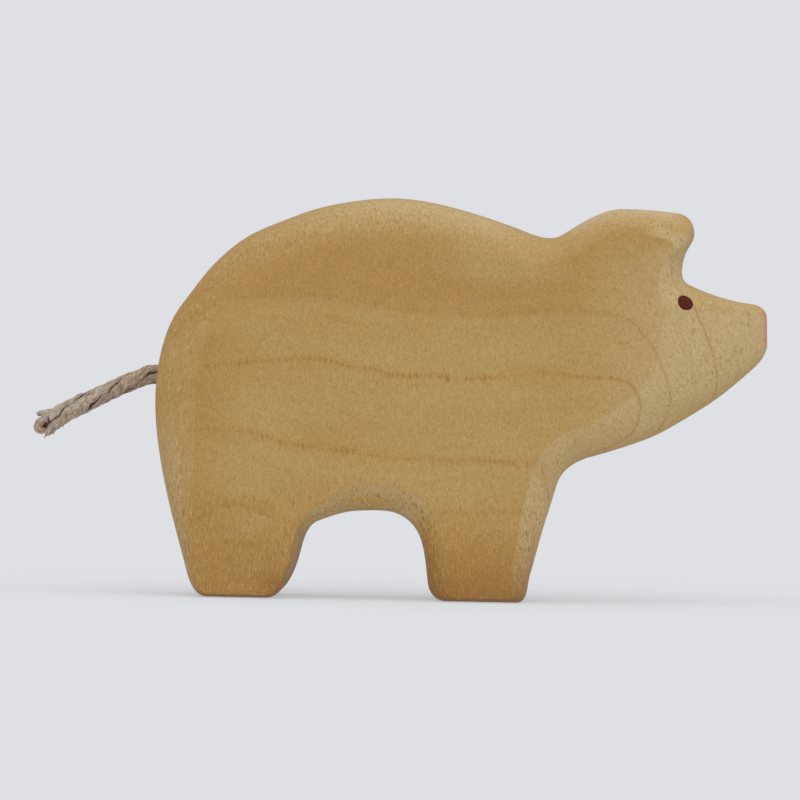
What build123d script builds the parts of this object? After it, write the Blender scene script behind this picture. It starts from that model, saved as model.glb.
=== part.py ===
from build123d import *
import math
import os

os.makedirs("parts", exist_ok=True)

# A wooden pig that faces +X and stands on z = 0, with y = 0 in the middle of its board.
# Lengths are in millimetres. Headings are in degrees in the XZ plane: 0 is forward, 90 is up.

# Board
BOARD_THICKNESS = 24.0
EDGE_DEPTH = 5.0  # how far the hand-rounded edges reach in from each flat side
EDGE_STEPS = 4  # facets across each rounded edge

# Lengths along the floor, which add up to the length of the body
RUMP_OVERHANG = 6.4
HIND_FOOT = 16.2
ARCH_WIDTH = 22.9
FRONT_FOOT = 16.2
HEAD_REACH = 38.3
BODY_LENGTH = RUMP_OVERHANG + HIND_FOOT + ARCH_WIDTH + FRONT_FOOT + HEAD_REACH

# Lengths along the top of the head
SNOUT_LENGTH = 14.2  # from the root of the ear to the snout's flat end
EAR_LENGTH = 22.0  # from the dip of the neck to the root of the ear
EAR_OVERHANG = 2.1  # how far the ear's tip stands forward of its root
BACK_AHEAD = 3.1  # from the middle of the arch forward to the highest point of the back
NECK_BEHIND = 4.1  # from the dip of the neck to where the back ends
NECK_AHEAD = 3.2  # from the dip of the neck to where the ear begins
BRIM_BEHIND = 1.2  # from the root of the ear back to its brim
BROW_AHEAD = 2.8  # from the root of the ear forward to the brow
THROAT_AHEAD = 10.8  # from the front toe forward to the throat
CHEST_AHEAD = 4.3  # from the front toe forward to the chest

# Heights
BODY_HEIGHT = 65.6
RUMP_HEIGHT = 32.5
NECK_DIP = 4.9
EAR_DROP = 1.0  # how much lower than the back the top of the ear is
EAR_FLAP = 9.6  # from the top of the ear down to its root
BRIM_DROP = 0.6  # from the top of the ear down to its brim
TIP_DROP = 3.6  # from the top of the ear down to its tip
SNOUT_DROP = 20.2  # from the top of the ear down to the middle of the snout
SNOUT_FLAT = 4.2
LIP = 2.9  # height of the rounding above and below the snout's flat end
BROW_RISE = 5.1  # from the top of the snout's flat end up to the brow
JAW_SHARE = 0.365  # share of the height from the throat to the chin at which the jaw is
THROAT_HEIGHT = 24.5
CHEST_HEIGHT = 19.3
ARCH_HEIGHT = 14.6
FRONT_WALL_LEAN = 1.4  # how far the arch's front wall leans back from the front heel
HIND_WALL_LEAN = 2.6  # how far the arch's hind wall leans forward from the hind toe

# Corners of the feet
HEEL_CORNER = 2.6
HIND_TOE_CORNER = 4.4
FRONT_TOE_CORNER = 1.8

# Widths of the hand-rounded edges, as the flat side shows them
RUMP_EDGE = 8.2
BACK_EDGE = 7.4
NECK_EDGE = 5.8
EAR_EDGE = 4.3
CHIN_EDGE = 4.4
SHIN_EDGE = 3.0
ARCH_EDGE = 4.4
SOLE_EDGE = 1.2
CHEEK_LENGTH = 19.8  # how far back from the snout its sides are sanded thinner

SAW_LEAN = 2.0  # how far the arch's hind wall leans forward across the board

# Paint
PAINT_COAT = 0.15
EYE_LENGTH = 2.8
EYE_WIDTH = 2.2
EYE_TILT = -35.0
EYE_BEHIND_SNOUT = 13.5
EYE_ABOVE_SNOUT = 5.0
SNOUT_PAINT_WIDTH = 16.0
SNOUT_PAINT_HEIGHT = 8.0
SNOUT_PAINT_RISE = 0.3  # how far above the middle of the snout the paint's middle is

# Tail of twine, glued into a blind hole
TWINE_DIAMETER = 3.1
TAIL_HEIGHT = 36.1
HOLE_DEPTH = 12.0
GLUE_FILM = 0.15
GLUE_PLUG = 1.0  # glue between the end of the twine and the bottom of the hole
BEND_GAP = 0.3  # between the glued end of the twine and the stretch that bends
TAIL_ROUTE = [(-56.2, 33.95), (-61.2, 31.5), (-65.9, 28.85)]  # x and z after the bend
FRAY_LENGTH = 3.6
FRAY_DIAMETER = 4.2
FRAY_END_DIAMETER = 3.0
FRAY_WIDEST = 0.7  # share of the frayed length at which it is widest
ARC_SHARE = 0.45  # share of the shorter run that an arc of the tail takes up

# Places along the length that follow from the sizes
rump_x = -BODY_LENGTH / 2
snout_x = BODY_LENGTH / 2
hind_heel_x = rump_x + RUMP_OVERHANG
hind_toe_x = hind_heel_x + HIND_FOOT
front_heel_x = hind_toe_x + ARCH_WIDTH
front_toe_x = front_heel_x + FRONT_FOOT
arch_x = (hind_toe_x + front_heel_x) / 2
ear_root_x = snout_x - SNOUT_LENGTH
neck_x = ear_root_x - EAR_LENGTH

# Heights that follow from the sizes
neck_z = BODY_HEIGHT - NECK_DIP
ear_z = BODY_HEIGHT - EAR_DROP
snout_z = ear_z - SNOUT_DROP
lip_top_z = snout_z + SNOUT_FLAT / 2
lip_low_z = snout_z - SNOUT_FLAT / 2
ear_root_z = ear_z - EAR_FLAP
jaw_z = THROAT_HEIGHT + JAW_SHARE * (lip_low_z - LIP - THROAT_HEIGHT)

# Anchors of the outline, clockwise as seen from the pig's right.
# Each has its x, z and heading on the outer edge, and how far x, z and heading change to the flat side.
ANCHORS = {
    "hind_sole_back": (hind_heel_x + HEEL_CORNER, 0, 180, 0.4, SOLE_EDGE, 0),
    "hind_heel": (hind_heel_x, HEEL_CORNER, 108, 1.0, SOLE_EDGE / 2, -16),
    "rump": (rump_x, RUMP_HEIGHT, 90, RUMP_EDGE, 2.0, 0),
    "back": (arch_x + BACK_AHEAD, BODY_HEIGHT, 0, 0, -BACK_EDGE, 0),
    "neck_back": (neck_x - NECK_BEHIND, neck_z, -19, -1.5, -NECK_EDGE, 3),
    "neck_front": (neck_x + NECK_AHEAD, neck_z, 31, -1.5, 0.4 - NECK_EDGE, -11),
    "ear_top": (neck_x + 0.55 * EAR_LENGTH, ear_z, 0, -1.0, -EAR_EDGE, 2),
    "ear_brim": (ear_root_x - BRIM_BEHIND, ear_z - BRIM_DROP, -9, -EAR_EDGE, -EAR_EDGE, -1),
    "ear_tip": (ear_root_x + EAR_OVERHANG, ear_z - TIP_DROP, -93, -EAR_EDGE, -3.0, -2),
    "ear_root": (ear_root_x, ear_root_z, -93, -EAR_EDGE, -0.7, -7),
    "brow": (ear_root_x + BROW_AHEAD, lip_top_z + BROW_RISE, -25, -7.6, -1.2, -63),
    "snout_top": (snout_x - LIP, lip_top_z + LIP, -5, LIP + 0.6 - CHEEK_LENGTH, -LIP / 2, -85),
    "upper_lip": (snout_x, lip_top_z, -90, -CHEEK_LENGTH, -LIP / 2, -5),
    "lower_lip": (snout_x, lip_low_z, -90, -CHEEK_LENGTH, 0, -10),
    "chin": (snout_x - 0.6 * LIP, lip_low_z - LIP, -136, 0.4 - CHEEK_LENGTH, -0.5 * LIP, 24),
    "jaw": (ear_root_x, jaw_z, -149, -2.5 * CHIN_EDGE, 2.9, 11),
    "throat": (front_toe_x + THROAT_AHEAD, THROAT_HEIGHT, -162, -1.2 * CHIN_EDGE, 0.9 * CHIN_EDGE, 4),
    "chest": (front_toe_x + CHEST_AHEAD, CHEST_HEIGHT, -108, 0.3 - CHIN_EDGE, CHIN_EDGE / 2, 2),
    "front_toe": (front_toe_x, 1.7 * FRONT_TOE_CORNER, -104, -SHIN_EDGE, SOLE_EDGE / 2, 4),
    "front_sole_toe": (front_toe_x - FRONT_TOE_CORNER, 0, -180, -0.7 * SHIN_EDGE, SOLE_EDGE, 0),
    "front_sole_heel": (front_heel_x + HEEL_CORNER, 0, -180, 1.4, SOLE_EDGE, 0),
    "front_heel": (front_heel_x, HEEL_CORNER, -262, 2.3, SOLE_EDGE / 2, -3),
    "arch_front": (front_heel_x - FRONT_WALL_LEAN, 0.7 * ARCH_HEIGHT, -252, 3.0, ARCH_EDGE / 2, -4),
    "arch_top_front": (arch_x + 0.2 * ARCH_WIDTH, ARCH_HEIGHT, -188, 1.4, ARCH_EDGE, -1),
    "arch_top_back": (arch_x - 0.04 * ARCH_WIDTH, ARCH_HEIGHT, -178, -0.3, ARCH_EDGE, -1),
    "arch_back": (hind_toe_x + HIND_WALL_LEAN, 0.78 * ARCH_HEIGHT, -136, -2.6, 0.7 * ARCH_EDGE, 2),
    "hind_toe": (hind_toe_x, 0.9 * HIND_TOE_CORNER, -110, -3.0, SOLE_EDGE / 2, 2),
    "hind_sole_toe": (hind_toe_x - HIND_TOE_CORNER, 0, -180, -1.1, SOLE_EDGE, 0),
}
STRAIGHT_FROM = {"upper_lip", "front_sole_toe", "hind_sole_toe"}
LEANING = {"arch_back", "hind_toe"}


def unit(heading):
    """Vector of length one along a heading."""
    return Vector(math.cos(math.radians(heading)), math.sin(math.radians(heading)))


def outline_at(y, share):
    """Anchors of the section at y, moved from the outer edge to the flat side by a share from 0 to 1."""
    anchors = []
    for name, (x, z, heading, dx, dz, turn) in ANCHORS.items():
        lean = SAW_LEAN * y / BOARD_THICKNESS if name in LEANING else 0
        anchors.append((name, Vector(x + share * dx + lean, z + share * dz), heading + share * turn))
    return anchors


def outline_edge(name, start, out, end, arrive):
    """Edge from one anchor to the next: a line, or a curve that leaves and arrives along the headings.

    A handle of the chord over 3 cos^2(turn / 4) makes the curve of an even turn a round arc.
    """
    if name in STRAIGHT_FROM:
        return Line(start, end)
    turn = (arrive - out + 180) % 360 - 180
    handle = (end - start).length / (3 * math.cos(math.radians(turn / 4)) ** 2)
    return Bezier(start, start + unit(out) * handle, end - unit(arrive) * handle, end)


def section_face(y, share):
    """Section of the body at y, whose edges stay apart so that each anchor is joined to the next section's."""
    anchors = outline_at(y, share)
    edges = []
    for (name, start, out), (_, end, arrive) in zip(anchors, anchors[1:] + anchors[:1]):
        edges.append(outline_edge(name, start, out, end, arrive))
    return Plane.XZ.offset(-y) * Face(Wire(edges))


# Sections across the board: each rounded edge is a quarter of an ellipse, in equal angles
edge_angles = [math.pi / 2 * step / EDGE_STEPS for step in range(EDGE_STEPS + 1)]
half_sections = [
    (BOARD_THICKNESS / 2 - EDGE_DEPTH * (1 - math.sin(angle)), 1 - math.cos(angle)) for angle in edge_angles
]
sections = [(-y, share) for y, share in reversed(half_sections)] + half_sections
section_faces = [section_face(y, share) for y, share in sections]

# Body, with the blind hole for the tail in its rump
with BuildPart() as body:
    loft(sections=section_faces, ruled=True)
    hole_axis = Axis((rump_x - TWINE_DIAMETER, 0, TAIL_HEIGHT), (1, 0, 0))
    exit_x = body.part.find_intersection_points(hole_axis)[0][0].X
    hole_bottom_x = exit_x + HOLE_DEPTH
    with BuildSketch(Plane.YZ.offset(hole_bottom_x)):
        with Locations((0, TAIL_HEIGHT)):
            Circle(TWINE_DIAMETER / 2 + GLUE_FILM)
    extrude(amount=-(HOLE_DEPTH + TWINE_DIAMETER), mode=Mode.SUBTRACT)


def eye_coat(side):
    """One painted eye, an oval coat of paint that follows the cheek; side is -1 for right and 1 for left."""
    eye_place = (snout_x - EYE_BEHIND_SNOUT, side * BOARD_THICKNESS, snout_z + EYE_ABOVE_SNOUT)
    point, normal = body.part.find_intersection_points(Axis(eye_place, (0, -side, 0)))[0]
    with BuildPart() as eye:
        with BuildSketch(Plane(origin=point, x_dir=(1, 0, 0), z_dir=normal)):
            Ellipse(EYE_LENGTH / 2, EYE_WIDTH / 2, rotation=-side * EYE_TILT)
        extrude(amount=EYE_WIDTH / 2, both=True)
        add(Pos(normal * PAINT_COAT) * body.part, mode=Mode.INTERSECT)
        add(body.part, mode=Mode.SUBTRACT)
    return eye.part


eye_paint_right = eye_coat(-1)
eye_paint_left = eye_coat(1)

# Paint on the snout's flat end, which wraps a little round its lips and cheeks
with BuildPart() as snout_paint:
    with BuildSketch(Plane.YZ.offset(snout_x - LIP)):
        with Locations((0, snout_z + SNOUT_PAINT_RISE)):
            Rectangle(SNOUT_PAINT_WIDTH, SNOUT_PAINT_HEIGHT)
    extrude(amount=2 * LIP)
    add(Pos(PAINT_COAT, 0, 0) * body.part, mode=Mode.INTERSECT)
    add(body.part, mode=Mode.SUBTRACT)

# Twine in the hole, from the plug of glue to the rump's surface
with BuildPart() as tail_root:
    with BuildSketch(Plane.YZ.offset(exit_x)):
        with Locations((0, TAIL_HEIGHT)):
            Circle(TWINE_DIAMETER / 2)
    extrude(amount=HOLE_DEPTH - GLUE_PLUG)

# Glue round the twine and at the bottom of the hole, a film's width short of the rump's surface
with BuildPart() as tail_glue:
    with BuildSketch(Plane.YZ.offset(hole_bottom_x)):
        with Locations((0, TAIL_HEIGHT)):
            Circle(TWINE_DIAMETER / 2 + GLUE_FILM)
    extrude(amount=-(HOLE_DEPTH - 2 * GLUE_FILM))
    add(tail_root.part, mode=Mode.SUBTRACT)

# Free twine: a round end at the bend, then straight runs joined by tangent arcs, and the frayed end
bend = Vector(exit_x - TWINE_DIAMETER / 2 - BEND_GAP, 0, TAIL_HEIGHT)
print("tail bends at", tuple(round(value, 3) for value in bend))
route = [bend] + [Vector(x, 0, z) for x, z in TAIL_ROUTE]
radii = []
for before, corner, after in zip(route, route[1:], route[2:]):
    half_turn = math.radians((corner - before).get_angle(after - corner)) / 2
    shorter_run = min((corner - before).length, (after - corner).length)
    radii.append(ARC_SHARE * shorter_run / math.tan(half_turn))
print("tail arc radii", [round(radius, 1) for radius in radii])

with BuildPart() as tail_cord:
    with BuildLine() as tail_line:
        FilletPolyline(*route, radius=radii)
    with BuildSketch(Plane(origin=bend, z_dir=tail_line.line % 0)):
        Circle(TWINE_DIAMETER / 2)
    tail_path = tail_line.wire()
    sweep(path=tail_path)
    tube_volume = math.pi / 4 * TWINE_DIAMETER**2 * tail_path.length
    print("tail tube", round(tail_cord.part.volume, 2), "section by length", round(tube_volume, 2))
    with Locations(bend):
        Sphere(TWINE_DIAMETER / 2)
    fray_axis = tail_path % 1
    fray_start = tail_path @ 1
    fray_sizes = [(0, TWINE_DIAMETER), (FRAY_WIDEST, FRAY_DIAMETER), (1, FRAY_END_DIAMETER)]
    for fray_share, diameter in fray_sizes:
        with BuildSketch(Plane(origin=fray_start + fray_axis * FRAY_LENGTH * fray_share, z_dir=fray_axis)):
            Circle(diameter / 2)
    loft(ruled=True)

pieces = {
    "body": body.part,
    "eye_paint_right": eye_paint_right,
    "eye_paint_left": eye_paint_left,
    "snout_paint": snout_paint.part,
    "tail_root": tail_root.part,
    "tail_glue": tail_glue.part,
    "tail_cord": tail_cord.part,
}
for label, piece in pieces.items():
    piece.label = label
    export_step(piece, f"parts/{label}.step")
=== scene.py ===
"""Dresses a wooden pig figurine: its carved body, two painted eyes, a painted snout and a tail of twine.

The pig faces +X, its left is +Y and it stands on z = 0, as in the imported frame. Shapes are worked out in
millimetres, like the carver's own sizes, and become metres when they are put into a mesh.
"""

from __future__ import annotations

import logging
import math
from dataclasses import dataclass, field
from enum import Enum
from functools import reduce

import bpy
import numpy as np
from mathutils import Matrix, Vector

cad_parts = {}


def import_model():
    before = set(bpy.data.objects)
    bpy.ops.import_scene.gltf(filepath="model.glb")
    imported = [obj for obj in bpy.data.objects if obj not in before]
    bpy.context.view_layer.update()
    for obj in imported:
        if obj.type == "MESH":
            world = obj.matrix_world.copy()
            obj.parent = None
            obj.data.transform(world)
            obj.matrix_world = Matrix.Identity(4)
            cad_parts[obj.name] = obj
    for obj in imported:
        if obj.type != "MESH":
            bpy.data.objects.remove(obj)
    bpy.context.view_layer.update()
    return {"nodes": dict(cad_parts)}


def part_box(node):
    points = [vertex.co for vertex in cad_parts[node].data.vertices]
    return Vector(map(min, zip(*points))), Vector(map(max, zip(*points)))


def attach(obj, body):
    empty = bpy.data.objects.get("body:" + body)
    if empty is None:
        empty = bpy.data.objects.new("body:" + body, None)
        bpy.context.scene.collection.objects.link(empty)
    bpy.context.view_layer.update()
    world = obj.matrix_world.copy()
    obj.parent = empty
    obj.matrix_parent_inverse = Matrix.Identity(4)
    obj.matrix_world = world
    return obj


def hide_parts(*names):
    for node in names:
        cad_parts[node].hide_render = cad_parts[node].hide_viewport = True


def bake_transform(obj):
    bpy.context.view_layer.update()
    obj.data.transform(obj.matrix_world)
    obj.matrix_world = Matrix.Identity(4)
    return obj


LOG = logging.getLogger("pig_figurine")
MM = 0.001
TINY, NEAR = 1e-12, 1e-6
STRAND_MAP = "strand"
TIP_FLOOR = 0.003
NODE_COLUMNS, NODE_WIDTH, NODE_HEIGHT = 12, 190.0, 240.0
MIX_INPUTS, MIX_RESULT = (0, 6, 7), 2  # sockets of a colour Mix node

RIGHTWARD = np.array([0.0, -1.0, 0.0])  # towards the pig's right
TUBE_SIDE = np.array([0.13, 0.98, 0.15])  # a direction that no loose end or fibre runs along

Array = np.ndarray
Colour = tuple[float, float, float]
Point = tuple[float, float, float]
Curve = tuple[tuple[float, float], ...]
Socket = bpy.types.NodeSocket
Feed = Socket | float | tuple[float, ...]


class Side(Enum):
    """The two flat sides of the board, with the sign of their y."""

    RIGHT = -1
    LEFT = 1


class Slot(Enum):
    """Names of material slots, which the paint coats carry but no piece is given."""

    WOOD = "wood"
    TWINE = "twine"
    EYE_PAINT = "eye_paint"
    SNOUT_PAINT = "snout_paint"


class Mover(Enum):
    """Bodies of the frame that pieces ride on."""

    FIGURE = "figure"
    TAIL = "tail"


class Mark(Enum):
    """Values that a mesh carries for its own material."""

    SANDING = "sanding"  # 0 on the flat sides, 1 on the outer edge of the board
    UNDER = "under"  # how far a surface looks down, from 0 to 1
    RIM = "rim"  # 0 in the middle of a coat of paint, 1 at its rim
    # GAP carries the twine's painted shade: deep between the yarns, at the strands' ends and on deep-lying loose ends
    GAP = "gap"  # 0 on the outside of the twine, 1 deep between its yarns


# Small shared sums


def smooth_step(value: Array, low: float, high: float) -> Array:
    """Eases from 0 at low to 1 at high, as 3 t^2 - 2 t^3.

    Args:
        value: What is compared with the two limits.
        low: Where the result leaves 0.
        high: Where the result reaches 1.

    Returns:
        The eased values, of the same shape.
    """
    t = np.clip((value - low) / (high - low), 0.0, 1.0)
    return t * t * (3.0 - 2.0 * t)


def unit(angle: Array) -> Array:
    """Pairs (cos, sin) of the angles in radians, on a new last axis."""
    return np.stack([np.cos(angle), np.sin(angle)], axis=-1)


def normalised(vectors: Array) -> Array:
    """Vectors of length 1 in the same directions."""
    return vectors / np.maximum(np.linalg.norm(vectors, axis=-1, keepdims=True), TINY)


def run_along(lines: Array) -> Array:
    """Distance of each point from the start of its line, with a line's points on the last axis but one."""
    return np.cumsum(np.linalg.norm(np.diff(lines, axis=-2, prepend=lines[..., :1, :]), axis=-1), axis=-1)


def rounded_off(near: Array) -> Array:
    """Radius of a rounded tip from 0 to 1, by the way from its point: sqrt(1 - (1 - t)^2), never quite 0."""
    return np.sqrt(np.clip(1.0 - (1.0 - np.clip(near, 0.0, 1.0)) ** 2, TIP_FLOOR, 1.0))


def solid_box(node: str) -> tuple[Array, Array]:
    """Lower and upper corner of a solid's box in millimetres."""
    low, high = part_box(node)
    return np.array(low) / MM, np.array(high) / MM


def by_axes(across: Point, above: Point, back: Point, place: Point) -> Matrix:
    """Matrix of an object with the given axes and place."""
    return Matrix([*zip(across, above, back, place), (0, 0, 0, 1)])


def disc_faces(rings: int, spokes: int) -> tuple[Array, Array, Array]:
    """Faces of a disc whose point 0 is its middle, with rings of points after it.

    Args:
        rings: Rings round the middle.
        spokes: Points of each ring.

    Returns:
        The triangles round the middle, the quads between the rings, and the outermost ring's points.
    """
    loops = 1 + np.arange(rings * spokes).reshape(rings, spokes)
    turned = np.roll(loops, -1, axis=1)
    tips = np.stack([np.zeros_like(loops[0]), loops[0], turned[0]], axis=-1)
    quads = np.stack([loops[:-1], loops[1:], turned[1:], turned[:-1]], axis=-1).reshape(-1, 4)
    return tips, quads, loops[-1]


def grid_quads(rows: int, columns: int, close_rows: bool = False) -> Array:
    """Quads of a grid whose point (i, j) has the index i * columns + j.

    Args:
        rows: Points along the first parameter.
        columns: Points along the second parameter.
        close_rows: Whether the last row is joined to the first.

    Returns:
        An array of four indices a quad.
    """
    i = np.arange(rows if close_rows else rows - 1)[:, None]
    j = np.arange(columns - 1)[None, :]
    here, after = i * columns, ((i + 1) % rows) * columns
    return np.stack([here + j, here + j + 1, after + j + 1, after + j], axis=-1).reshape(-1, 4)


def smooth_path(places: Array, steps: int) -> Array:
    """Curve through places, a Catmull-Rom spline.

    Args:
        places: The places, one a row.
        steps: Points of the curve.

    Returns:
        The curve's points, from the first place to the last.
    """
    padded = np.concatenate([2 * places[:1] - places[1:2], places, 2 * places[-1:] - places[-2:-1]])
    way = np.linspace(0.0, len(places) - 1.0, steps)
    i = np.minimum(way.astype(int), len(places) - 2)
    t = (way - i)[:, None]
    a, b, c, d = (padded[i + k] for k in range(4))
    return 0.5 * (2 * b + (c - a) * t + (2 * a - 5 * b + 4 * c - d) * t**2 + (3 * b - a - 3 * c + d) * t**3)


def make_piece(
    name: str,
    points: Array,
    faces: list[list[int]],
    marks: dict[Mark, Array] | None = None,
    flat_faces: tuple[int, ...] = (),
) -> bpy.types.Object:
    """Puts points and faces into a new mesh object at the origin.

    Args:
        name: Name of the piece.
        points: Its points in millimetres, in the frame's axes.
        faces: Indices of each face's corners.
        marks: Values for each point that its material reads.
        flat_faces: Indices of the faces that aren't shaded smooth.

    Returns:
        The new object, linked to the scene.
    """
    mesh = bpy.data.meshes.new(name)
    mesh.from_pydata((points * MM).tolist(), [], faces)
    smooth = np.ones(len(faces), bool)
    smooth[list(flat_faces)] = False
    mesh.polygons.foreach_set("use_smooth", smooth)
    for mark, values in (marks or {}).items():
        attribute = mesh.attributes.new(mark.value, "FLOAT", "POINT")
        attribute.data.foreach_set("value", values.astype(np.float32))
    mesh.update()
    piece = bpy.data.objects.new(name, mesh)
    bpy.context.scene.collection.objects.link(piece)
    return piece


# Node helpers


@dataclass
class NodeSheet:
    """A node tree with short ways to place and join its nodes.

    Attributes:
        tree: The tree of a material, a world or a node group.
    """

    tree: bpy.types.NodeTree

    @classmethod
    def of(cls, owner: bpy.types.Material | bpy.types.World) -> NodeSheet:
        """The emptied sheet of a material or a world."""
        owner.use_nodes = True
        owner.node_tree.nodes.clear()
        return cls(owner.node_tree)

    def add(self, kind: str, feeds: dict[str | int, Feed] | None = None, **settings: object) -> bpy.types.Node:
        """Places one node.

        Args:
            kind: Type of the node.
            feeds: What each of its inputs takes, a socket or a plain value.
            **settings: Properties of the node.

        Returns:
            The node.
        """
        node = self.tree.nodes.new(kind)
        row, column = divmod(len(self.tree.nodes), NODE_COLUMNS)
        node.location = (NODE_WIDTH * column, -NODE_HEIGHT * row)
        for key, value in settings.items():
            setattr(node, key, value)
        self.feed(node, feeds or {})
        return node

    def feed(self, node: bpy.types.Node, feeds: dict[str | int, Feed]) -> None:
        """Links sockets to a node's inputs, or sets the inputs to plain values."""
        for key, value in feeds.items():
            if isinstance(value, bpy.types.NodeSocket):
                self.tree.links.new(value, node.inputs[key])
            else:
                node.inputs[key].default_value = value

    def calc(self, operation: str, *values: Feed, clamp: bool = False) -> Socket:
        """Result of a Math node on one to three values."""
        node = self.add("ShaderNodeMath", dict(enumerate(values)), operation=operation, use_clamp=clamp)
        return node.outputs[0]

    def product(self, *values: Feed) -> Socket:
        """Product of some values."""
        return reduce(lambda first, second: self.calc("MULTIPLY", first, second), values)

    def total(self, *values: Feed) -> Socket:
        """Total of some values."""
        return reduce(lambda first, second: self.calc("ADD", first, second), values)

    def largest(self, *values: Feed) -> Socket:
        """Largest of some values."""
        return reduce(lambda first, second: self.calc("MAXIMUM", first, second), values)

    def between(self, share: Feed, first: Feed, second: Feed) -> Socket:
        """Value between two others."""
        return self.calc("MULTIPLY_ADD", share, self.calc("SUBTRACT", second, first), first)

    def swing(self, value: Feed, reach: float) -> Socket:
        """A value from 0 to 1 as one from minus to plus half a reach."""
        return self.calc("MULTIPLY_ADD", value, reach, -reach / 2)

    def ease(self, value: Feed, low: float, high: float, start: float = 0.0, end: float = 1.0) -> Socket:
        """Smooth step of a value from start at low to end at high."""
        feeds = {"Value": value, "From Min": low, "From Max": high, "To Min": start, "To Max": end}
        return self.add("ShaderNodeMapRange", feeds, interpolation_type="SMOOTHSTEP").outputs["Result"]

    def noise(self, place: Socket, stretch: Point, detail: float = 2.0, roughness: float = 0.5) -> Socket:
        """Noise from 0 to 1 of a place in millimetres.

        Args:
            place: The place.
            stretch: Cycles a millimetre along x, y and z.
            detail: Octaves added to the first.
            roughness: Share that each octave keeps of the one before.

        Returns:
            The noise's value.
        """
        scaled = self.add("ShaderNodeVectorMath", {0: place, 1: stretch}, operation="MULTIPLY").outputs[0]
        feeds = {"Vector": scaled, "Scale": 1.0, "Detail": detail, "Roughness": roughness}
        return self.add("ShaderNodeTexNoise", feeds).outputs[0]

    def mix(self, share: Feed, first: Feed, second: Feed) -> Socket:
        """Mix of two colours, given as sockets or as red, green and blue."""
        pair = ((*value, 1.0) if isinstance(value, tuple) else value for value in (first, second))
        return self.add("ShaderNodeMix", dict(zip(MIX_INPUTS, (share, *pair))), data_type="RGBA").outputs[MIX_RESULT]

    def layers(self, colour: Feed, *layers: tuple[Feed, Colour]) -> Socket:
        """A colour with others mixed over it in turn, each by its share."""
        for share, tint in layers:
            colour = self.mix(share, colour, tint)
        return colour

    def place(self) -> Socket:
        """Place on the object in metres."""
        return self.add("ShaderNodeTexCoord").outputs["Object"]

    def scaled(self, vector: Socket, scale: Feed) -> Socket:
        """A vector or a colour times a value."""
        return self.add("ShaderNodeVectorMath", {0: vector, "Scale": scale}, operation="SCALE").outputs[0]

    def millimetres(self, place: Socket) -> Socket:
        """A place in metres as one in millimetres."""
        return self.scaled(place, 1.0 / MM)

    def mark(self, mark: Mark) -> Socket:
        """A value that the mesh carries."""
        return self.add("ShaderNodeAttribute", attribute_name=mark.value).outputs["Fac"]

    def bump(self, height: Socket, strength: float, distance: float) -> Socket:
        """Normal of a surface with a fine relief, whose distance is in metres."""
        return self.add("ShaderNodeBump", {"Height": height, "Strength": strength, "Distance": distance}).outputs[0]

    def curve(self, value: Feed, points: Curve) -> Socket:
        """A smooth curve through points from (0, ...) to (1, ...).

        Args:
            value: Where the curve is read, from 0 to 1.
            points: The points, both numbers from 0 to 1.

        Returns:
            The curve's value.
        """
        node = self.add("ShaderNodeFloatCurve", {"Value": value})
        line = node.mapping.curves[0]
        line.points[0].location, line.points[1].location = points[0], points[-1]
        for place in points[1:-1]:
            line.points.new(*place)
        node.mapping.update()
        return node.outputs[0]


def new_material(name: str) -> tuple[bpy.types.Material, NodeSheet, bpy.types.Node]:
    """Makes a material with one Principled BSDF.

    Args:
        name: Name of the material.

    Returns:
        The material, its sheet of nodes and its shader.
    """
    material = bpy.data.materials.new(name)
    sheet = NodeSheet.of(material)
    shader = sheet.add("ShaderNodeBsdfPrincipled")
    sheet.add("ShaderNodeOutputMaterial", {"Surface": shader.outputs[0]})
    return material, sheet, shader


# The wood's finish


class Read(Enum):
    """Values that the look of the wood follows."""

    ALONG = "along"  # x in millimetres
    ACROSS = "across"  # y in millimetres
    UP = "up"  # z in millimetres
    GROWTH = "growth"  # height of the growth ring in millimetres
    SANDING = "sanding"  # 0 on the flat sides, 1 on the outer edge of the board
    ROUNDED = "rounded"  # 0 on the flat sides, 1 on all of the sanded edges
    UNDER = "under"  # how far the surface looks down
    BLOTCH = "blotch"  # slow noise
    FLECK = "fleck"  # noise of short upright strokes
    PORE = "pore"  # fine noise
    SPECK = "speck"  # noise between the two
    JITTER = "jitter"  # noise that shifts ticks and arches along x
    CHANCE = "chance"  # noise that breaks lines up


@dataclass(frozen=True)
class Ramp:
    """A smooth step of one value.

    Attributes:
        of: The value that it follows.
        low: Where it leaves its start.
        high: Where it reaches its end.
        start: What it starts from.
        end: What it ends at.
    """

    of: Read
    low: float
    high: float
    start: float = 0.0
    end: float = 1.0


Patch = tuple[Ramp, ...]


@dataclass
class GrainSheet(NodeSheet):
    """The sheet of the wood's grain, which knows the values that it can follow.

    Attributes:
        reads: The socket of each value.
    """

    reads: dict[Read, Socket] = field(default_factory=dict)

    def mask(self, patch: Patch) -> Socket:
        """Product of a patch's ramps."""
        return self.product(*(self.ease(self.reads[r.of], r.low, r.high, r.start, r.end) for r in patch))

    def outside(self, patch: Patch) -> Socket:
        """1 less the product of a patch's ramps."""
        return self.calc("SUBTRACT", 1.0, self.mask(patch))


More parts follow.
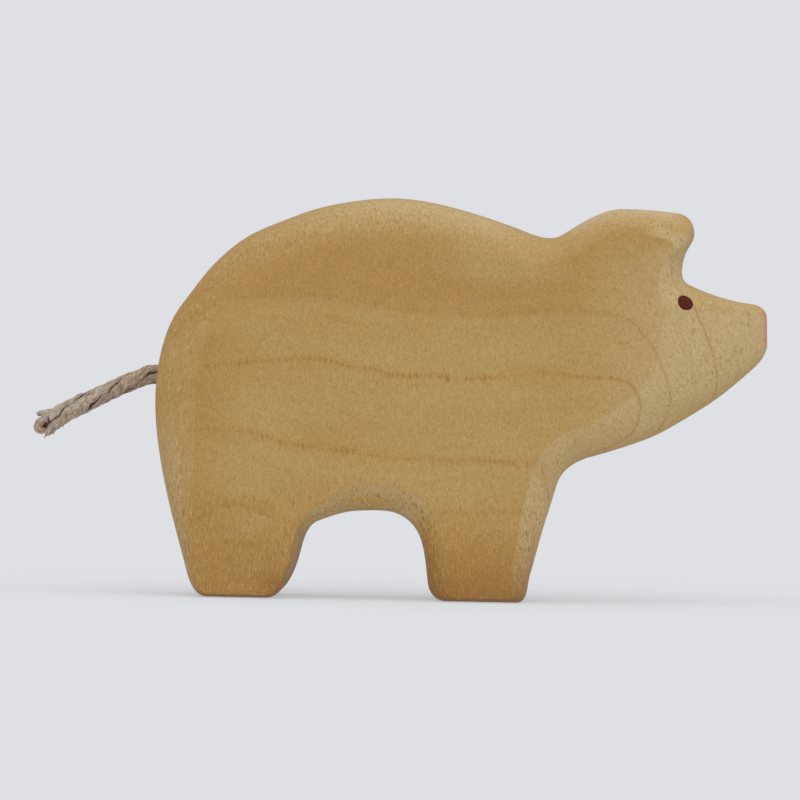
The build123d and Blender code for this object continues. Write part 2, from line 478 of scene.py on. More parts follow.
@dataclass(frozen=True)
class WoodPatches:
    """Where the wood's look changes, each patch the product of its ramps.

    Attributes:
        rounded: The sanded edges.
        rear: Amber on the flat side before the rump.
        dark_year: A darker year above one of the rings.
        forward: Head, throat and shin, where they are sanded.
        below_ridge: The part of these behind the ear that isn't pale.
        ear_tip: The ear's tip, which isn't pale.
        brow: The brow, which is less pale.
        ridge: The sanded ridge of the back.
        dip: The dip behind the ear, where the ridge is less pale.
        heel: The sanded edge above the heel.
        belly: Painted light on the edge over the arch, which lies in shade.
        cheek: The flat side of the head.
        nape: The flat side below the dip.
        notch: The hollow before the ear.
        ear: The top of the ear.
        far_side: The far side, where the rings are read higher up, in millimetres.
        head: The head, whose rings have a presence of their own.
        bare_rump: The sanded rump, where the rings hardly show.
        ear_free: The ear, where no ring shows.
        ticks: How plain the ticks are along a ring.
        thin: How plain the thin line of a ring is.
        figure: Where the hind leg's arches show, broken by chance.
        arch: The wood round the arch between the legs.
        arch_painted_light: Painted light on the arch's outer rim, against the shade under the arch.
        lower: Painted shade, with some oil, on the edges that look down.
        inner: The inner side of the front leg.
        throat: The edge below the throat.
        ahead: How much oil the feet have soaked up along the body.
        corner: The hind foot's inner corner, which is dirtiest.
        sole_shade: Painted shade along the edge of the soles.
        crease: A painted shade line in the crease between the flat side and the rump.
        spot: A warm spot over the arch.
        keen_legs: How keen the dark flecks are towards the feet.
        keen_ridge: The same towards the ridge.
        dark_flecks: Dark flecks of the wood's rays.
        light_flecks: Light flecks of the wood's rays.
        light_legs: How keen the light flecks are on the legs' flat sides.
        pore_dots: Dark pores.
        soaked: Pores that hold oil in the feet.
        pore_tone: Brightness by the pores.
        pore_roughness: Roughness by the pores.
        fleck_lean: How far the flecks lean back towards the head.
    """

    rounded: Patch = (Ramp(Read.SANDING, 0.02, 0.3),)
    rear: Patch = (Ramp(Read.ALONG, -34.0, -42.0, 0.0, 0.34), Ramp(Read.UP, 48.0, 38.0), Ramp(Read.ROUNDED, 0.35, 0.0))
    dark_year: Patch = (
        Ramp(Read.GROWTH, 44.6, 46.4, 0.0, 0.26),
        Ramp(Read.GROWTH, 60.0, 49.0),
        Ramp(Read.ALONG, 24.0, 12.0),
    )
    forward: Patch = (Ramp(Read.ALONG, -6.0, 18.0), Ramp(Read.SANDING, 0.0, 0.1))
    below_ridge: Patch = (Ramp(Read.UP, 50.0, 57.0), Ramp(Read.ALONG, 33.0, 28.0))
    ear_tip: Patch = (Ramp(Read.UP, 59.5, 61.5, 0.0, 0.7), Ramp(Read.ALONG, 31.0, 34.0))
    brow: Patch = (Ramp(Read.UP, 46.5, 50.5), Ramp(Read.ALONG, 35.5, 38.5, 0.0, 0.55))
    ridge: Patch = (
        Ramp(Read.UP, 49.0, 55.0),
        Ramp(Read.SANDING, -0.05, 0.75),
        Ramp(Read.ALONG, 36.5, 33.0, 0.45, 1.0),
        Ramp(Read.ALONG, -36.0, -10.0, 0.3, 1.0),
        Ramp(Read.SANDING, 0.55, 1.0, 1.0, 0.66),
    )
    dip: Patch = (Ramp(Read.ALONG, 3.0, 13.0, 0.0, 0.6), Ramp(Read.ALONG, 21.0, 16.0))
    heel: Patch = (Ramp(Read.ALONG, -40.0, -45.0, 0.0, 0.45), Ramp(Read.UP, 34.0, 18.0), Ramp(Read.SANDING, 0.05, 0.5))
    belly: Patch = (
        Ramp(Read.UP, 24.0, 20.0),
        Ramp(Read.UP, 11.0, 15.0, 0.0, 0.48),
        Ramp(Read.ALONG, -1.0, -5.0),
        Ramp(Read.ALONG, -29.0, -24.0),
        Ramp(Read.SANDING, 0.0, 0.15),
        Ramp(Read.SANDING, 0.5, 0.22),
    )
    cheek: Patch = (Ramp(Read.ALONG, 16.0, 33.0, 0.0, 0.5), Ramp(Read.UP, 60.0, 54.0), Ramp(Read.ROUNDED, 1.0, 0.2))
    nape: Patch = (Ramp(Read.ALONG, -8.0, 4.0, 0.0, 0.32), Ramp(Read.ALONG, 19.0, 9.0), Ramp(Read.UP, 50.0, 55.0))
    notch: Patch = (Ramp(Read.ALONG, 27.5, 33.0, 0.0, 0.64), Ramp(Read.UP, 60.0, 56.5))
    ear: Patch = (
        Ramp(Read.ALONG, 14.0, 21.0),
        Ramp(Read.ALONG, 36.0, 33.5),
        Ramp(Read.UP, 57.0, 60.5),
        Ramp(Read.SANDING, 0.4, 0.85),
    )
    far_side: Patch = (Ramp(Read.ACROSS, -3.0, 5.0, 0.0, 58.0),)
    head: Patch = (Ramp(Read.ALONG, 21.0, 28.0),)
    bare_rump: Patch = (Ramp(Read.SANDING, 0.0, 0.07, 0.0, 0.82), Ramp(Read.ALONG, -18.0, -32.0))
    ear_free: Patch = (Ramp(Read.UP, 55.0, 58.0), Ramp(Read.ALONG, 8.0, 20.0))
    ticks: Patch = (Ramp(Read.CHANCE, 0.42, 0.6, 0.08, 1.0), Ramp(Read.ALONG, 26.0, 18.0, 0.15, 0.45))
    thin: Patch = (Ramp(Read.ALONG, 17.0, 27.0, 0.25, 0.5), Ramp(Read.CHANCE, 0.4, 0.58, 0.3, 1.0))
    figure: Patch = (
        Ramp(Read.CHANCE, 0.38, 0.6, 0.4, 1.0),
        Ramp(Read.ROUNDED, 0.5, 0.0),
        Ramp(Read.ACROSS, 4.0, -4.0),
    )
    arch: Patch = (
        Ramp(Read.ALONG, -29.0, -24.0),
        Ramp(Read.ALONG, -4.0, -8.0),
        Ramp(Read.UP, 10.0, 13.5),
        Ramp(Read.UP, 24.0, 19.0),
    )
    arch_painted_light: Patch = (Ramp(Read.SANDING, 0.25, 0.6, 0.0, 0.8),)
    lower: Patch = (Ramp(Read.UNDER, 0.2, 0.8), Ramp(Read.SANDING, 0.3, 0.8, 0.0, 0.36))
    inner: Patch = (Ramp(Read.ALONG, 7.0, -3.0, 0.0, 0.4), Ramp(Read.ALONG, -12.0, -9.0), Ramp(Read.UP, 16.0, 9.0))
    throat: Patch = (
        Ramp(Read.ALONG, 10.0, 15.0, 0.0, 0.18),
        Ramp(Read.ALONG, 31.0, 24.0),
        Ramp(Read.UP, 33.0, 29.0),
        Ramp(Read.SANDING, 0.0, 0.1),
    )
    ahead: Patch = (Ramp(Read.ALONG, -16.0, -4.0, 0.34, 0.8), Ramp(Read.ALONG, -44.0, -38.0, 0.35, 1.0))
    corner: Patch = (
        Ramp(Read.ALONG, -34.5, -29.5, 0.0, 0.62),
        Ramp(Read.ALONG, -21.0, -25.0),
        Ramp(Read.UP, 5.8, 1.6),
    )
    sole_shade: Patch = (Ramp(Read.UP, 1.5, 0.3, 0.0, 0.65), Ramp(Read.SANDING, 0.0, 0.3))
    crease: Patch = (
        Ramp(Read.SANDING, 0.0, 0.02),
        Ramp(Read.SANDING, 0.14, 0.04),
        Ramp(Read.ALONG, -34.0, -42.0, 0.0, 0.2),
    )
    spot: Patch = (Ramp(Read.ALONG, -20.0, -16.5, 0.0, 0.45), Ramp(Read.ALONG, -9.5, -12.5), Ramp(Read.UP, 17.4, 16.4))
    keen_legs: Patch = (Ramp(Read.UP, 25.0, 6.0, 1.0, 3.2),)
    keen_ridge: Patch = (Ramp(Read.UP, 52.0, 59.0, 0.0, 0.4),)
    dark_flecks: Patch = (Ramp(Read.FLECK, 0.55, 0.7), Ramp(Read.ROUNDED, 0.0, 1.0, 0.2, 0.4))
    light_flecks: Patch = (
        Ramp(Read.FLECK, 0.45, 0.31),
        Ramp(Read.ROUNDED, 0.0, 1.0, 0.07, 0.28),
        Ramp(Read.ALONG, 12.0, 26.0, 1.0, 0.5),
    )
    light_legs: Patch = (Ramp(Read.UP, 25.0, 8.0, 1.0, 2.1),)
    pore_dots: Patch = (Ramp(Read.SPECK, 0.58, 0.74), Ramp(Read.ROUNDED, 0.0, 1.0, 0.6, 0.25))
    soaked: Patch = (Ramp(Read.SPECK, 0.62, 0.72), Ramp(Read.UP, 15.0, 4.0, 0.0, 0.5))
    pore_tone: Patch = (Ramp(Read.PORE, 0.25, 0.75, 0.85, 1.15),)
    pore_roughness: Patch = (Ramp(Read.PORE, 0.2, 0.8, 0.52, 0.68),)
    fleck_lean: Patch = (Ramp(Read.ALONG, -8.0, 22.0, 0.0, 0.4),)


@dataclass(frozen=True)
class MapleFinish:
    """Hand-sanded maple with a thin coat of oil.

    The growth rings are tilted sheets of the board. A ring's height g is z, plus the rings' tilt through the
    board, plus their dive towards the snout, less a slow sway, and a line shows at each full step of g.

    Attributes:
        panel: Colour of the oiled flat sides.
        amber: Darker colour of patches on the flat sides.
        pale: Colour of the sanded head, throat and shin, and of the painted light over the arch.
        bleached: Colour of the ear's top, which is worn most.
        honey: Warm colour of the painted shade, with some oil, on edges that look down; also of warm patches and the
            oiled feet.
        band: Colour of the soft band along a growth line, of dark pores and of the painted shade line in the rump's
            crease.
        line: Colour of the growth lines, their ticks and the arches in the hind leg.
        stain: Colour of the oil-soaked feet, and of the painted shade along the soles' edge.
        fleck: Colour of the dark ray flecks.
        shine: Colour of the light ray flecks.
        length: Length of the body in millimetres, over which the sways are given.
        height: Height of the body in millimetres, over which the tone is given.
        half_board: Half of the board's thickness, from whose near side the tilt counts.
        ring_step: Distance of the growth lines in millimetres of height.
        first_ring: Height of one line, by which all are placed.
        ring_tilt: Rise of the rings for each millimetre through the board.
        dive_slope: How steeply the rings dive in the head.
        dive_start: Where along x the dive begins.
        dive_ease: Length over which the dive sets in.
        dive_limit: Highest power of the dive's formula, which keeps it finite.
        wander: How far the rings stray from their even course.
        high_sway: Sway of the rings at half height, as places along the body and rises from 0 to 1.
        low_sway: Sway of the rings above the belly, in the same way.
        foot_sway: Sway of the rings in the legs, in the same way.
        high_from: Heights between which the low sway turns into the high one.
        foot_from: Heights between which the legs' sway turns into the low one.
        sway_reach: Rise in millimetres from 0 to 1 of the sways.
        tone: Share of amber at heights from 0 to 1.
        blotch_reach: How much the slow noise changes the share of amber.
        streak_reach: How much the streaks change it.
        presence: How plainly a ring shows, by its height over the span of the rings, from 0 to 1.
        head_presence: The same in the head.
        ring_span: Height of the rings at 1 of their presence.
        band_edge: Distances from a ring at which its soft band ends and is full.
        band_share: Share of the soft band's colour.
        thin_edge: Distances from a ring at which its thin line ends and is full.
        tick_step: Distance of the upright ticks along a growth line.
        tick_shift: How far chance shifts the ticks along it.
        tick_edge: Distances from a tick's middle at which it ends and is full, along the ring.
        tick_reach: The same up and down.
        tick_stray: How far the ticks stray up and down.
        figure_middle: Place along x of the arches in the hind leg.
        figure_bend: Radius of the arches at their tops.
        figure_top: Height of the lower arch.
        figure_step: Distance from one arch up to the next.
        figure_stray: How far the arches stray up and down.
        figure_edge: Distances from an arch at which its line ends and is full.
        figure_share: Share of the arches' colour.
        figure_foot: Heights at which the lower arch begins and is full.
        figure_head: Heights at which the upper arch ends and is full.
        figure_side: Distances before the middle at which the arches end and are full.
        oil_edge: Heights between which the feet have soaked up oil, with the slow noise.
        oil_stray: How far the slow noise lifts that edge.
        oil_warmth: Share of the warm colour in the oiled feet.
        arch_shade: Share of the painted underside shade that the arch keeps.
        pore_height: Height of the pores in the relief.
        fleck_height: Height of the flecks in the relief.
        patches: Where the look changes.
    """

    panel: Colour = (0.422, 0.279, 0.102)
    amber: Colour = (0.372, 0.212, 0.06)
    pale: Colour = (0.452, 0.328, 0.155)
    bleached: Colour = (0.5, 0.365, 0.2)
    honey: Colour = (0.435, 0.235, 0.05)
    band: Colour = (0.368, 0.196, 0.044)
    line: Colour = (0.28, 0.122, 0.014)
    stain: Colour = (0.235, 0.1, 0.02)
    fleck: Colour = (0.25, 0.145, 0.042)
    shine: Colour = (0.6, 0.47, 0.27)
    length: float = 100.0
    height: float = 65.6
    half_board: float = 12.0
    ring_step: float = 10.25
    first_ring: float = 14.5
    ring_tilt: float = 2.6
    dive_slope: float = 1.9
    dive_start: float = 28.5
    dive_ease: float = 1.6
    dive_limit: float = 40.0
    wander: float = 1.6
    high_sway: Curve = (
        (0.0, 0.7), (0.09, 0.76), (0.15, 0.85), (0.24, 0.92), (0.33, 0.8),
        (0.41, 0.68), (0.52, 0.65), (0.64, 0.74), (0.75, 0.72), (1.0, 0.62),
    )
    low_sway: Curve = (
        (0.0, 0.82), (0.08, 0.8), (0.16, 0.69), (0.27, 0.48),
        (0.4, 0.36), (0.53, 0.33), (0.62, 0.32), (1.0, 0.32),
    )
    foot_sway: Curve = (
        (0.0, 0.45), (0.1, 0.55), (0.17, 0.58), (0.21, 0.4), (0.25, 0.2), (0.45, 0.5), (1.0, 0.5),
    )
    high_from: tuple[float, float] = (26.0, 34.0)
    foot_from: tuple[float, float] = (13.0, 20.0)
    sway_reach: float = 10.0
    tone: Curve = (
        (0.0, 1.0), (0.12, 0.92), (0.25, 0.55), (0.37, 0.34),
        (0.52, 0.38), (0.66, 0.36), (0.82, 0.8), (1.0, 0.8),
    )
    blotch_reach: float = 1.5
    streak_reach: float = 0.8
    presence: Curve = (
        (0.0, 0.0), (0.1, 0.12), (0.16, 0.55), (0.25, 1.0), (0.4, 1.0),
        (0.45, 0.66), (0.52, 0.62), (0.6, 0.14), (1.0, 0.1),
    )
    head_presence: Curve = (
        (0.0, 0.8), (0.4, 0.95), (0.52, 1.0), (0.6, 0.25), (0.65, 0.25),
        (0.73, 0.95), (0.8, 0.4), (0.9, 0.2), (1.0, 0.2),
    )
    ring_span: float = 90.0
    band_edge: tuple[float, float] = (1.4, 0.2)
    band_share: float = 0.26
    thin_edge: tuple[float, float] = (0.42, 0.1)
    tick_step: float = 1.0
    tick_shift: float = 2.4
    tick_edge: tuple[float, float] = (0.2, 0.07)
    tick_reach: tuple[float, float] = (0.6, 0.28)
    tick_stray: float = -1.1
    figure_middle: float = -36.2
    figure_bend: float = 8.2
    figure_top: float = 8.9
    figure_step: float = 6.3
    figure_stray: float = 1.6
    figure_edge: tuple[float, float] = (0.8, 0.1)
    figure_share: float = 0.31
    figure_foot: tuple[float, float] = (6.0, 7.5)
    figure_head: tuple[float, float] = (17.6, 16.4)
    figure_side: tuple[float, float] = (10.5, 7.5)
    oil_edge: tuple[float, float] = (17.0, 4.5)
    oil_stray: float = 9.0
    oil_warmth: float = 0.25
    arch_shade: float = 0.3
    pore_height: float = 0.6
    fleck_height: float = -0.5
    patches: WoodPatches = WoodPatches()

    def grain(self) -> bpy.types.NodeTree:
        """Makes the grain as a node group, because both bare and painted wood use it.

        Returns:
            A group that takes a place in metres, the sanding and how far the surface looks down, and gives a
            colour, a roughness and a height.
        """
        group = bpy.data.node_groups.new("maple_grain", "ShaderNodeTree")
        for name, kind in (("Place", "Vector"), ("Sanding", "Float"), ("Under", "Float")):
            group.interface.new_socket(name, in_out="INPUT", socket_type=f"NodeSocket{kind}")
        for name, kind in (("Color", "Color"), ("Roughness", "Float"), ("Height", "Float")):
            group.interface.new_socket(name, in_out="OUTPUT", socket_type=f"NodeSocket{kind}")
        sheet = GrainSheet(group)
        place = self._read(sheet)
        reads, patch = sheet.reads, self.patches
        colour = self._ground(sheet)
        colour = self._growth_lines(sheet, colour, place)
        colour = self._wear_and_painted_shading(sheet, colour)

        # Short flecks of the wood's rays, and fine pores of which a few are dark
        keen = sheet.total(sheet.mask(patch.keen_legs), sheet.mask(patch.keen_ridge))
        keen_light = sheet.between(reads[Read.ROUNDED], sheet.mask(patch.light_legs), 1.0)
        colour = sheet.layers(
            colour,
            (sheet.product(sheet.mask(patch.dark_flecks), keen), self.fleck),
            (sheet.product(sheet.mask(patch.light_flecks), keen_light), self.shine),
            (sheet.mask(patch.pore_dots), self.band),
            (sheet.mask(patch.soaked), self.stain),
        )
        pores = sheet.product(reads[Read.PORE], self.pore_height)
        given = {
            "Color": sheet.scaled(colour, sheet.mask(patch.pore_tone)),
            "Roughness": sheet.mask(patch.pore_roughness),
            "Height": sheet.calc("MULTIPLY_ADD", reads[Read.FLECK], self.fleck_height, pores),
        }
        sheet.add("NodeGroupOutput", given)
        return group

    def _read(self, sheet: GrainSheet) -> Socket:
        """Fills in the values that the grain follows.

        Args:
            sheet: The sheet of the group.

        Returns:
            Place in millimetres.
        """
        given = sheet.add("NodeGroupInput").outputs
        place = sheet.millimetres(given["Place"])
        along, across, up = sheet.add("ShaderNodeSeparateXYZ", {0: place}).outputs
        sheet.reads = {
            Read.ALONG: along,
            Read.ACROSS: across,
            Read.UP: up,
            Read.SANDING: given["Sanding"],
            Read.UNDER: given["Under"],
            Read.BLOTCH: sheet.noise(place, (0.035, 0.05, 0.075), detail=4.0, roughness=0.55),
            Read.PORE: sheet.noise(place, (3.8, 3.8, 2.8), roughness=0.7),
            Read.SPECK: sheet.noise(place, (2.5, 2.5, 1.7), detail=1.0),
            Read.JITTER: sheet.noise(place, (0.45, 0.2, 0.06), detail=1.0),
            Read.CHANCE: sheet.noise(place, (0.85, 0.3, 0.3), detail=1.0),
        }
        lean = sheet.product(sheet.mask(self.patches.fleck_lean), up)
        shift = sheet.add("ShaderNodeCombineXYZ", {"X": lean}).outputs[0]
        leaning = sheet.add("ShaderNodeVectorMath", {0: place, 1: shift}, operation="ADD").outputs[0]
        sheet.reads[Read.FLECK] = sheet.noise(leaning, (3.3, 2.6, 0.75), detail=1.5, roughness=0.6)
        sheet.reads[Read.ROUNDED] = sheet.mask(self.patches.rounded)
        sheet.reads[Read.GROWTH] = self._ring_height(sheet, place)
        return place

    def _ring_height(self, sheet: GrainSheet, place: Socket) -> Socket:
        """Height g of the growth ring at a place.

        Args:
            sheet: The sheet of the group.
            place: Place in millimetres.

        Returns:
            The ring's height in millimetres.
        """
        along, across, up = (sheet.reads[axis] for axis in (Read.ALONG, Read.ACROSS, Read.UP))
        station = sheet.calc("ADD", sheet.calc("DIVIDE", along, self.length), 0.5)
        high, low, foot = (sheet.curve(station, sway) for sway in (self.high_sway, self.low_sway, self.foot_sway))
        sway = sheet.between(sheet.ease(up, *self.high_from), low, high)
        sway = sheet.between(sheet.ease(up, *self.foot_from), foot, sway)

        # The dive is slope * ease * ln(1 + e^((x - start) / ease)), level before its start and even after it
        run = sheet.calc("DIVIDE", sheet.calc("SUBTRACT", along, self.dive_start), self.dive_ease)
        grown = sheet.calc("ADD", sheet.calc("EXPONENT", sheet.calc("MINIMUM", run, self.dive_limit)), 1.0)
        dive = sheet.product(sheet.calc("LOGARITHM", grown, math.e), self.dive_slope * self.dive_ease)

        tilt = sheet.product(sheet.calc("ADD", across, self.half_board), self.ring_tilt)
        wander = sheet.swing(sheet.noise(place, (0.16, 0.12, 0.1)), self.wander)
        return sheet.total(sheet.calc("SUBTRACT", up, sheet.swing(sway, self.sway_reach)), dive, tilt, wander)

    def _ground(self, sheet: GrainSheet) -> Socket:
        """Colour of the wood without its lines and flecks.

        Args:
            sheet: The sheet of the group.

        Returns:
            The colour.
        """
        reads, patch = sheet.reads, self.patches
        level = sheet.calc("DIVIDE", reads[Read.UP], self.height)
        with_rings = sheet.add("ShaderNodeCombineXYZ", {"X": reads[Read.ALONG], "Z": reads[Read.GROWTH]}).outputs[0]
        streaks = sheet.noise(with_rings, (0.03, 1.0, 0.55), detail=3.0, roughness=0.6)
        share = sheet.total(
            sheet.curve(level, self.tone),
            sheet.swing(reads[Read.BLOTCH], self.blotch_reach),
            sheet.mask(patch.rear),
            sheet.swing(streaks, self.streak_reach),
        )
        share = sheet.calc("ADD", share, sheet.mask(patch.dark_year), clamp=True)

        # The head, the throat and the shin are paler where they are sanded, and so is the ridge of the back; the edge
        # over the arch is paler as painted light against its shade
        kept = sheet.largest(sheet.mask(patch.below_ridge), sheet.mask(patch.ear_tip))
        forward = sheet.calc("SUBTRACT", sheet.mask(patch.forward), kept, clamp=True)
        forward = sheet.calc("SUBTRACT", forward, sheet.mask(patch.brow), clamp=True)
        ridge = sheet.product(sheet.mask(patch.ridge), sheet.outside(patch.dip))
        ridge = sheet.total(ridge, sheet.mask(patch.heel), sheet.mask(patch.belly))
        cheek = sheet.total(sheet.mask(patch.cheek), sheet.mask(patch.nape))
        # worn holds the sanded wear and, over the arch, painted light
        worn = sheet.largest(forward, ridge, cheek, sheet.mask(patch.notch))
        ground = sheet.mix(share, self.panel, self.amber)
        return sheet.layers(ground, (worn, self.pale), (sheet.mask(patch.ear), self.bleached))

    def _growth_lines(self, sheet: GrainSheet, colour: Socket, place: Socket) -> Socket:
        """Growth lines over the ground: a soft band, a thin line in it and short upright ticks along it.

        Args:
            sheet: The sheet of the group.
            colour: The ground.
            place: Place in millimetres.

        Returns:
            The colour with the lines.
        """
        reads, patch = sheet.reads, self.patches
        along, growth, jitter = reads[Read.ALONG], reads[Read.GROWTH], reads[Read.JITTER]
        rings = sheet.calc("PINGPONG", sheet.calc("SUBTRACT", growth, self.first_ring), self.ring_step / 2)
        span = sheet.calc("DIVIDE", sheet.calc("SUBTRACT", growth, sheet.mask(patch.far_side)), self.ring_span)
        presence, head_presence = (sheet.curve(span, shown) for shown in (self.presence, self.head_presence))
        fading = sheet.ease(sheet.noise(place, (0.09, 0.05, 0.05), detail=1.0), 0.36, 0.58, 0.6, 1.0)
        shows = sheet.product(
            sheet.between(sheet.mask(patch.head), presence, head_presence),
            sheet.outside(patch.bare_rump),
            fading,
            sheet.outside(patch.ear_free),
        )

        # Ticks stand about a millimetre apart, some of them missing
        station = sheet.calc("MULTIPLY_ADD", jitter, self.tick_shift, along)
        from_tick = sheet.calc("PINGPONG", station, self.tick_step / 2)
        off_line = sheet.total(rings, sheet.swing(reads[Read.CHANCE], self.tick_stray))
        tick = sheet.product(
            sheet.ease(from_tick, *self.tick_edge), sheet.ease(off_line, *self.tick_reach), sheet.mask(patch.ticks)
        )
        thin = sheet.product(sheet.ease(rings, *self.thin_edge), sheet.mask(patch.thin))
        band = sheet.product(sheet.ease(rings, *self.band_edge, 0.0, self.band_share), shows)
        drawn = sheet.product(sheet.calc("ADD", thin, tick, clamp=True), shows)

        # The hind leg's figure: arches z = top - (x - middle)^2 / (2 * bend), one above the other
        beside = sheet.calc("SUBTRACT", along, self.figure_middle)
        drop = sheet.calc("DIVIDE", sheet.product(beside, beside), 2 * self.figure_bend)
        crown = sheet.total(reads[Read.UP], drop, sheet.swing(jitter, self.figure_stray))
        off_arch = sheet.calc("PINGPONG", sheet.calc("SUBTRACT", crown, self.figure_top), self.figure_step / 2)
        arches = sheet.product(
            sheet.ease(off_arch, *self.figure_edge, 0.0, self.figure_share),
            sheet.ease(crown, *self.figure_head),
            sheet.ease(crown, *self.figure_foot),
            sheet.ease(beside, *self.figure_side),
            sheet.mask(patch.figure),
        )
        return sheet.layers(colour, (band, self.band), (drawn, self.line), (arches, self.line))

    def _wear_and_painted_shading(self, sheet: GrainSheet, colour: Socket) -> Socket:
        """Warm painted shade on edges that look down, painted shade along the soles and in the rump's crease, painted
        light over the arch, and oil and dirt on the feet.

        Args:
            sheet: The sheet of the group.
            colour: The wood so far.

        Returns:
            The colour with the wear and with the painted light and shade.
        """
        patch = self.patches
        arch = sheet.mask(patch.arch)
        # Painted shade, with some oil, on edges that look down; the arch keeps only a share of it
        lower = sheet.product(sheet.mask(patch.lower), sheet.ease(arch, 0.0, 1.0, 1.0, self.arch_shade))
        oiled = sheet.calc("MULTIPLY_ADD", sheet.reads[Read.BLOTCH], self.oil_stray, sheet.reads[Read.UP])
        oiled = sheet.ease(oiled, *self.oil_edge)
        return sheet.layers(
            colour,
            # Painted light on the rim of the arch, which lies in shade
            (sheet.product(arch, sheet.mask(patch.arch_painted_light)), self.pale),
            (sheet.largest(lower, sheet.mask(patch.inner), sheet.mask(patch.throat)), self.honey),
            (sheet.product(oiled, self.oil_warmth), self.honey),
            (sheet.product(oiled, sheet.mask(patch.ahead)), self.stain),
            (sheet.mask(patch.corner), self.stain),
            # Painted shade along the soles' edge
            (sheet.mask(patch.sole_shade), self.stain),
            # Painted shade line in the rump's crease
            (sheet.mask(patch.crease), self.band),
            (sheet.mask(patch.spot), self.honey),
        )

    def material(self, grain: bpy.types.NodeTree) -> bpy.types.Material:
        """Makes the finish of the bare wood.

        Args:
            grain: The group that grain() made.

        Returns:
            The material.
        """
        material, sheet, shader = new_material("oiled_maple")
        marks = {"Place": sheet.place(), "Sanding": sheet.mark(Mark.SANDING), "Under": sheet.mark(Mark.UNDER)}
        wood = sheet.add("ShaderNodeGroup", marks, node_tree=grain).outputs
        look = {
            "Base Color": wood["Color"],
            "Roughness": wood["Roughness"],
            "Normal": sheet.bump(wood["Height"], 0.35, 0.00012),
            "Specular IOR Level": 0.2,
        }
        sheet.feed(shader, look)
        return material


# The other finishes


@dataclass(frozen=True)
class TwineFinish:
    """Undyed linen twine with painted brown shade in the hollows between its strands.

    Attributes:
        fibre: Colour of the fibres.
        bleached: Paler colour of worn fibres.
        shive: Brown of woody bits among the fibres.
        hollow: Colour of the painted shade deep between the strands and in fine cracks.
        glue_from: Places along x between which glue browns the twine.
    """

    fibre: Colour = (0.24, 0.178, 0.12)
    bleached: Colour = (0.46, 0.388, 0.305)
    shive: Colour = (0.26, 0.125, 0.06)
    hollow: Colour = (0.07, 0.033, 0.016)
    glue_from: tuple[float, float] = (-61.0, -54.0)

    def material(self) -> bpy.types.Material:
        """Makes the finish, whose streaks follow the strands by their own UV map.

        Returns:
            The material.
        """
        material, sheet, shader = new_material("linen_twine")
        run = sheet.add("ShaderNodeUVMap", uv_map=STRAND_MAP).outputs[0]
        place = sheet.millimetres(sheet.place())
        along = sheet.add("ShaderNodeSeparateXYZ", {0: place}).outputs[0]
        streaks = sheet.noise(run, (0.9, 2.9, 1.0), detail=3.0, roughness=0.65)
        blotches = sheet.noise(place, (0.45, 0.45, 0.6))
        brown = sheet.product(sheet.ease(blotches, 0.5, 0.66), sheet.ease(streaks, 0.6, 0.4, 0.06, 0.7))
        glued = sheet.product(sheet.ease(along, *self.glue_from, 0.0, 0.55), sheet.ease(streaks, 0.65, 0.35, 0.2, 1.0))

        # Fine cracks lie where a noise is near its middle, here and there, and fibres bridge some of the gaps; gaps
        # and cracks get painted shade
        cracks = sheet.calc("ABSOLUTE", sheet.swing(sheet.noise(run, (0.55, 1.5, 1.0)), 1.0))
        broken = sheet.ease(sheet.noise(place, (0.6, 0.6, 0.6), detail=1.0), 0.46, 0.6)
        crack = sheet.product(sheet.ease(cracks, 0.035, 0.008, 0.0, 0.6), broken)
        bridged = sheet.ease(sheet.noise(run, (0.42, 0.2, 1.0)), 0.45, 0.6, 0.12, 1.0)
        gap = sheet.product(sheet.ease(sheet.mark(Mark.GAP), 0.1, 0.8), bridged)
        colour = sheet.layers(
            sheet.mix(sheet.ease(streaks, 0.32, 0.6), self.fibre, self.bleached),
            (sheet.largest(brown, glued), self.shive),
            # Painted shade in the gaps and the fine cracks
            (sheet.largest(gap, crack), self.hollow),
        )
        look = {
            "Base Color": colour,
            "Normal": sheet.bump(streaks, 0.6, 0.00015),
            "Roughness": sheet.ease(streaks, 0.2, 0.8, 0.72, 0.92),
            "Specular IOR Level": 0.2,
            "Sheen Weight": 0.15,
        }
        sheet.feed(shader, look)
        return material


@dataclass(frozen=True)
class EyePaintFinish:
    """Dark brown paint, put on thick with a pointed brush.

    Attributes:
        dark: Colour of the paint.
        warm: Redder colour where it is thin.
    """

    dark: Colour = (0.07, 0.013, 0.007)
    warm: Colour = (0.1, 0.021, 0.011)

    def material(self) -> bpy.types.Material:
        """Makes the finish, with faint strokes and a thin rim.

        Returns:
            The material.
        """
        material, sheet, shader = new_material("eye_paint")
        strokes = sheet.noise(sheet.millimetres(sheet.place()), (1.4, 1.4, 3.5))
        rim = sheet.ease(sheet.mark(Mark.RIM), 0.75, 1.0)
        thin = sheet.calc("ADD", sheet.ease(strokes, 0.4, 0.7, 0.0, 0.5), rim, clamp=True)
        look = {
            "Base Color": sheet.mix(thin, self.dark, self.warm),
            "Roughness": sheet.ease(strokes, 0.3, 0.7, 0.5, 0.66),
            "Normal": sheet.bump(strokes, 0.25, 0.00008),
            "Specular IOR Level": 0.08,
        }
        sheet.feed(shader, look)
        return material


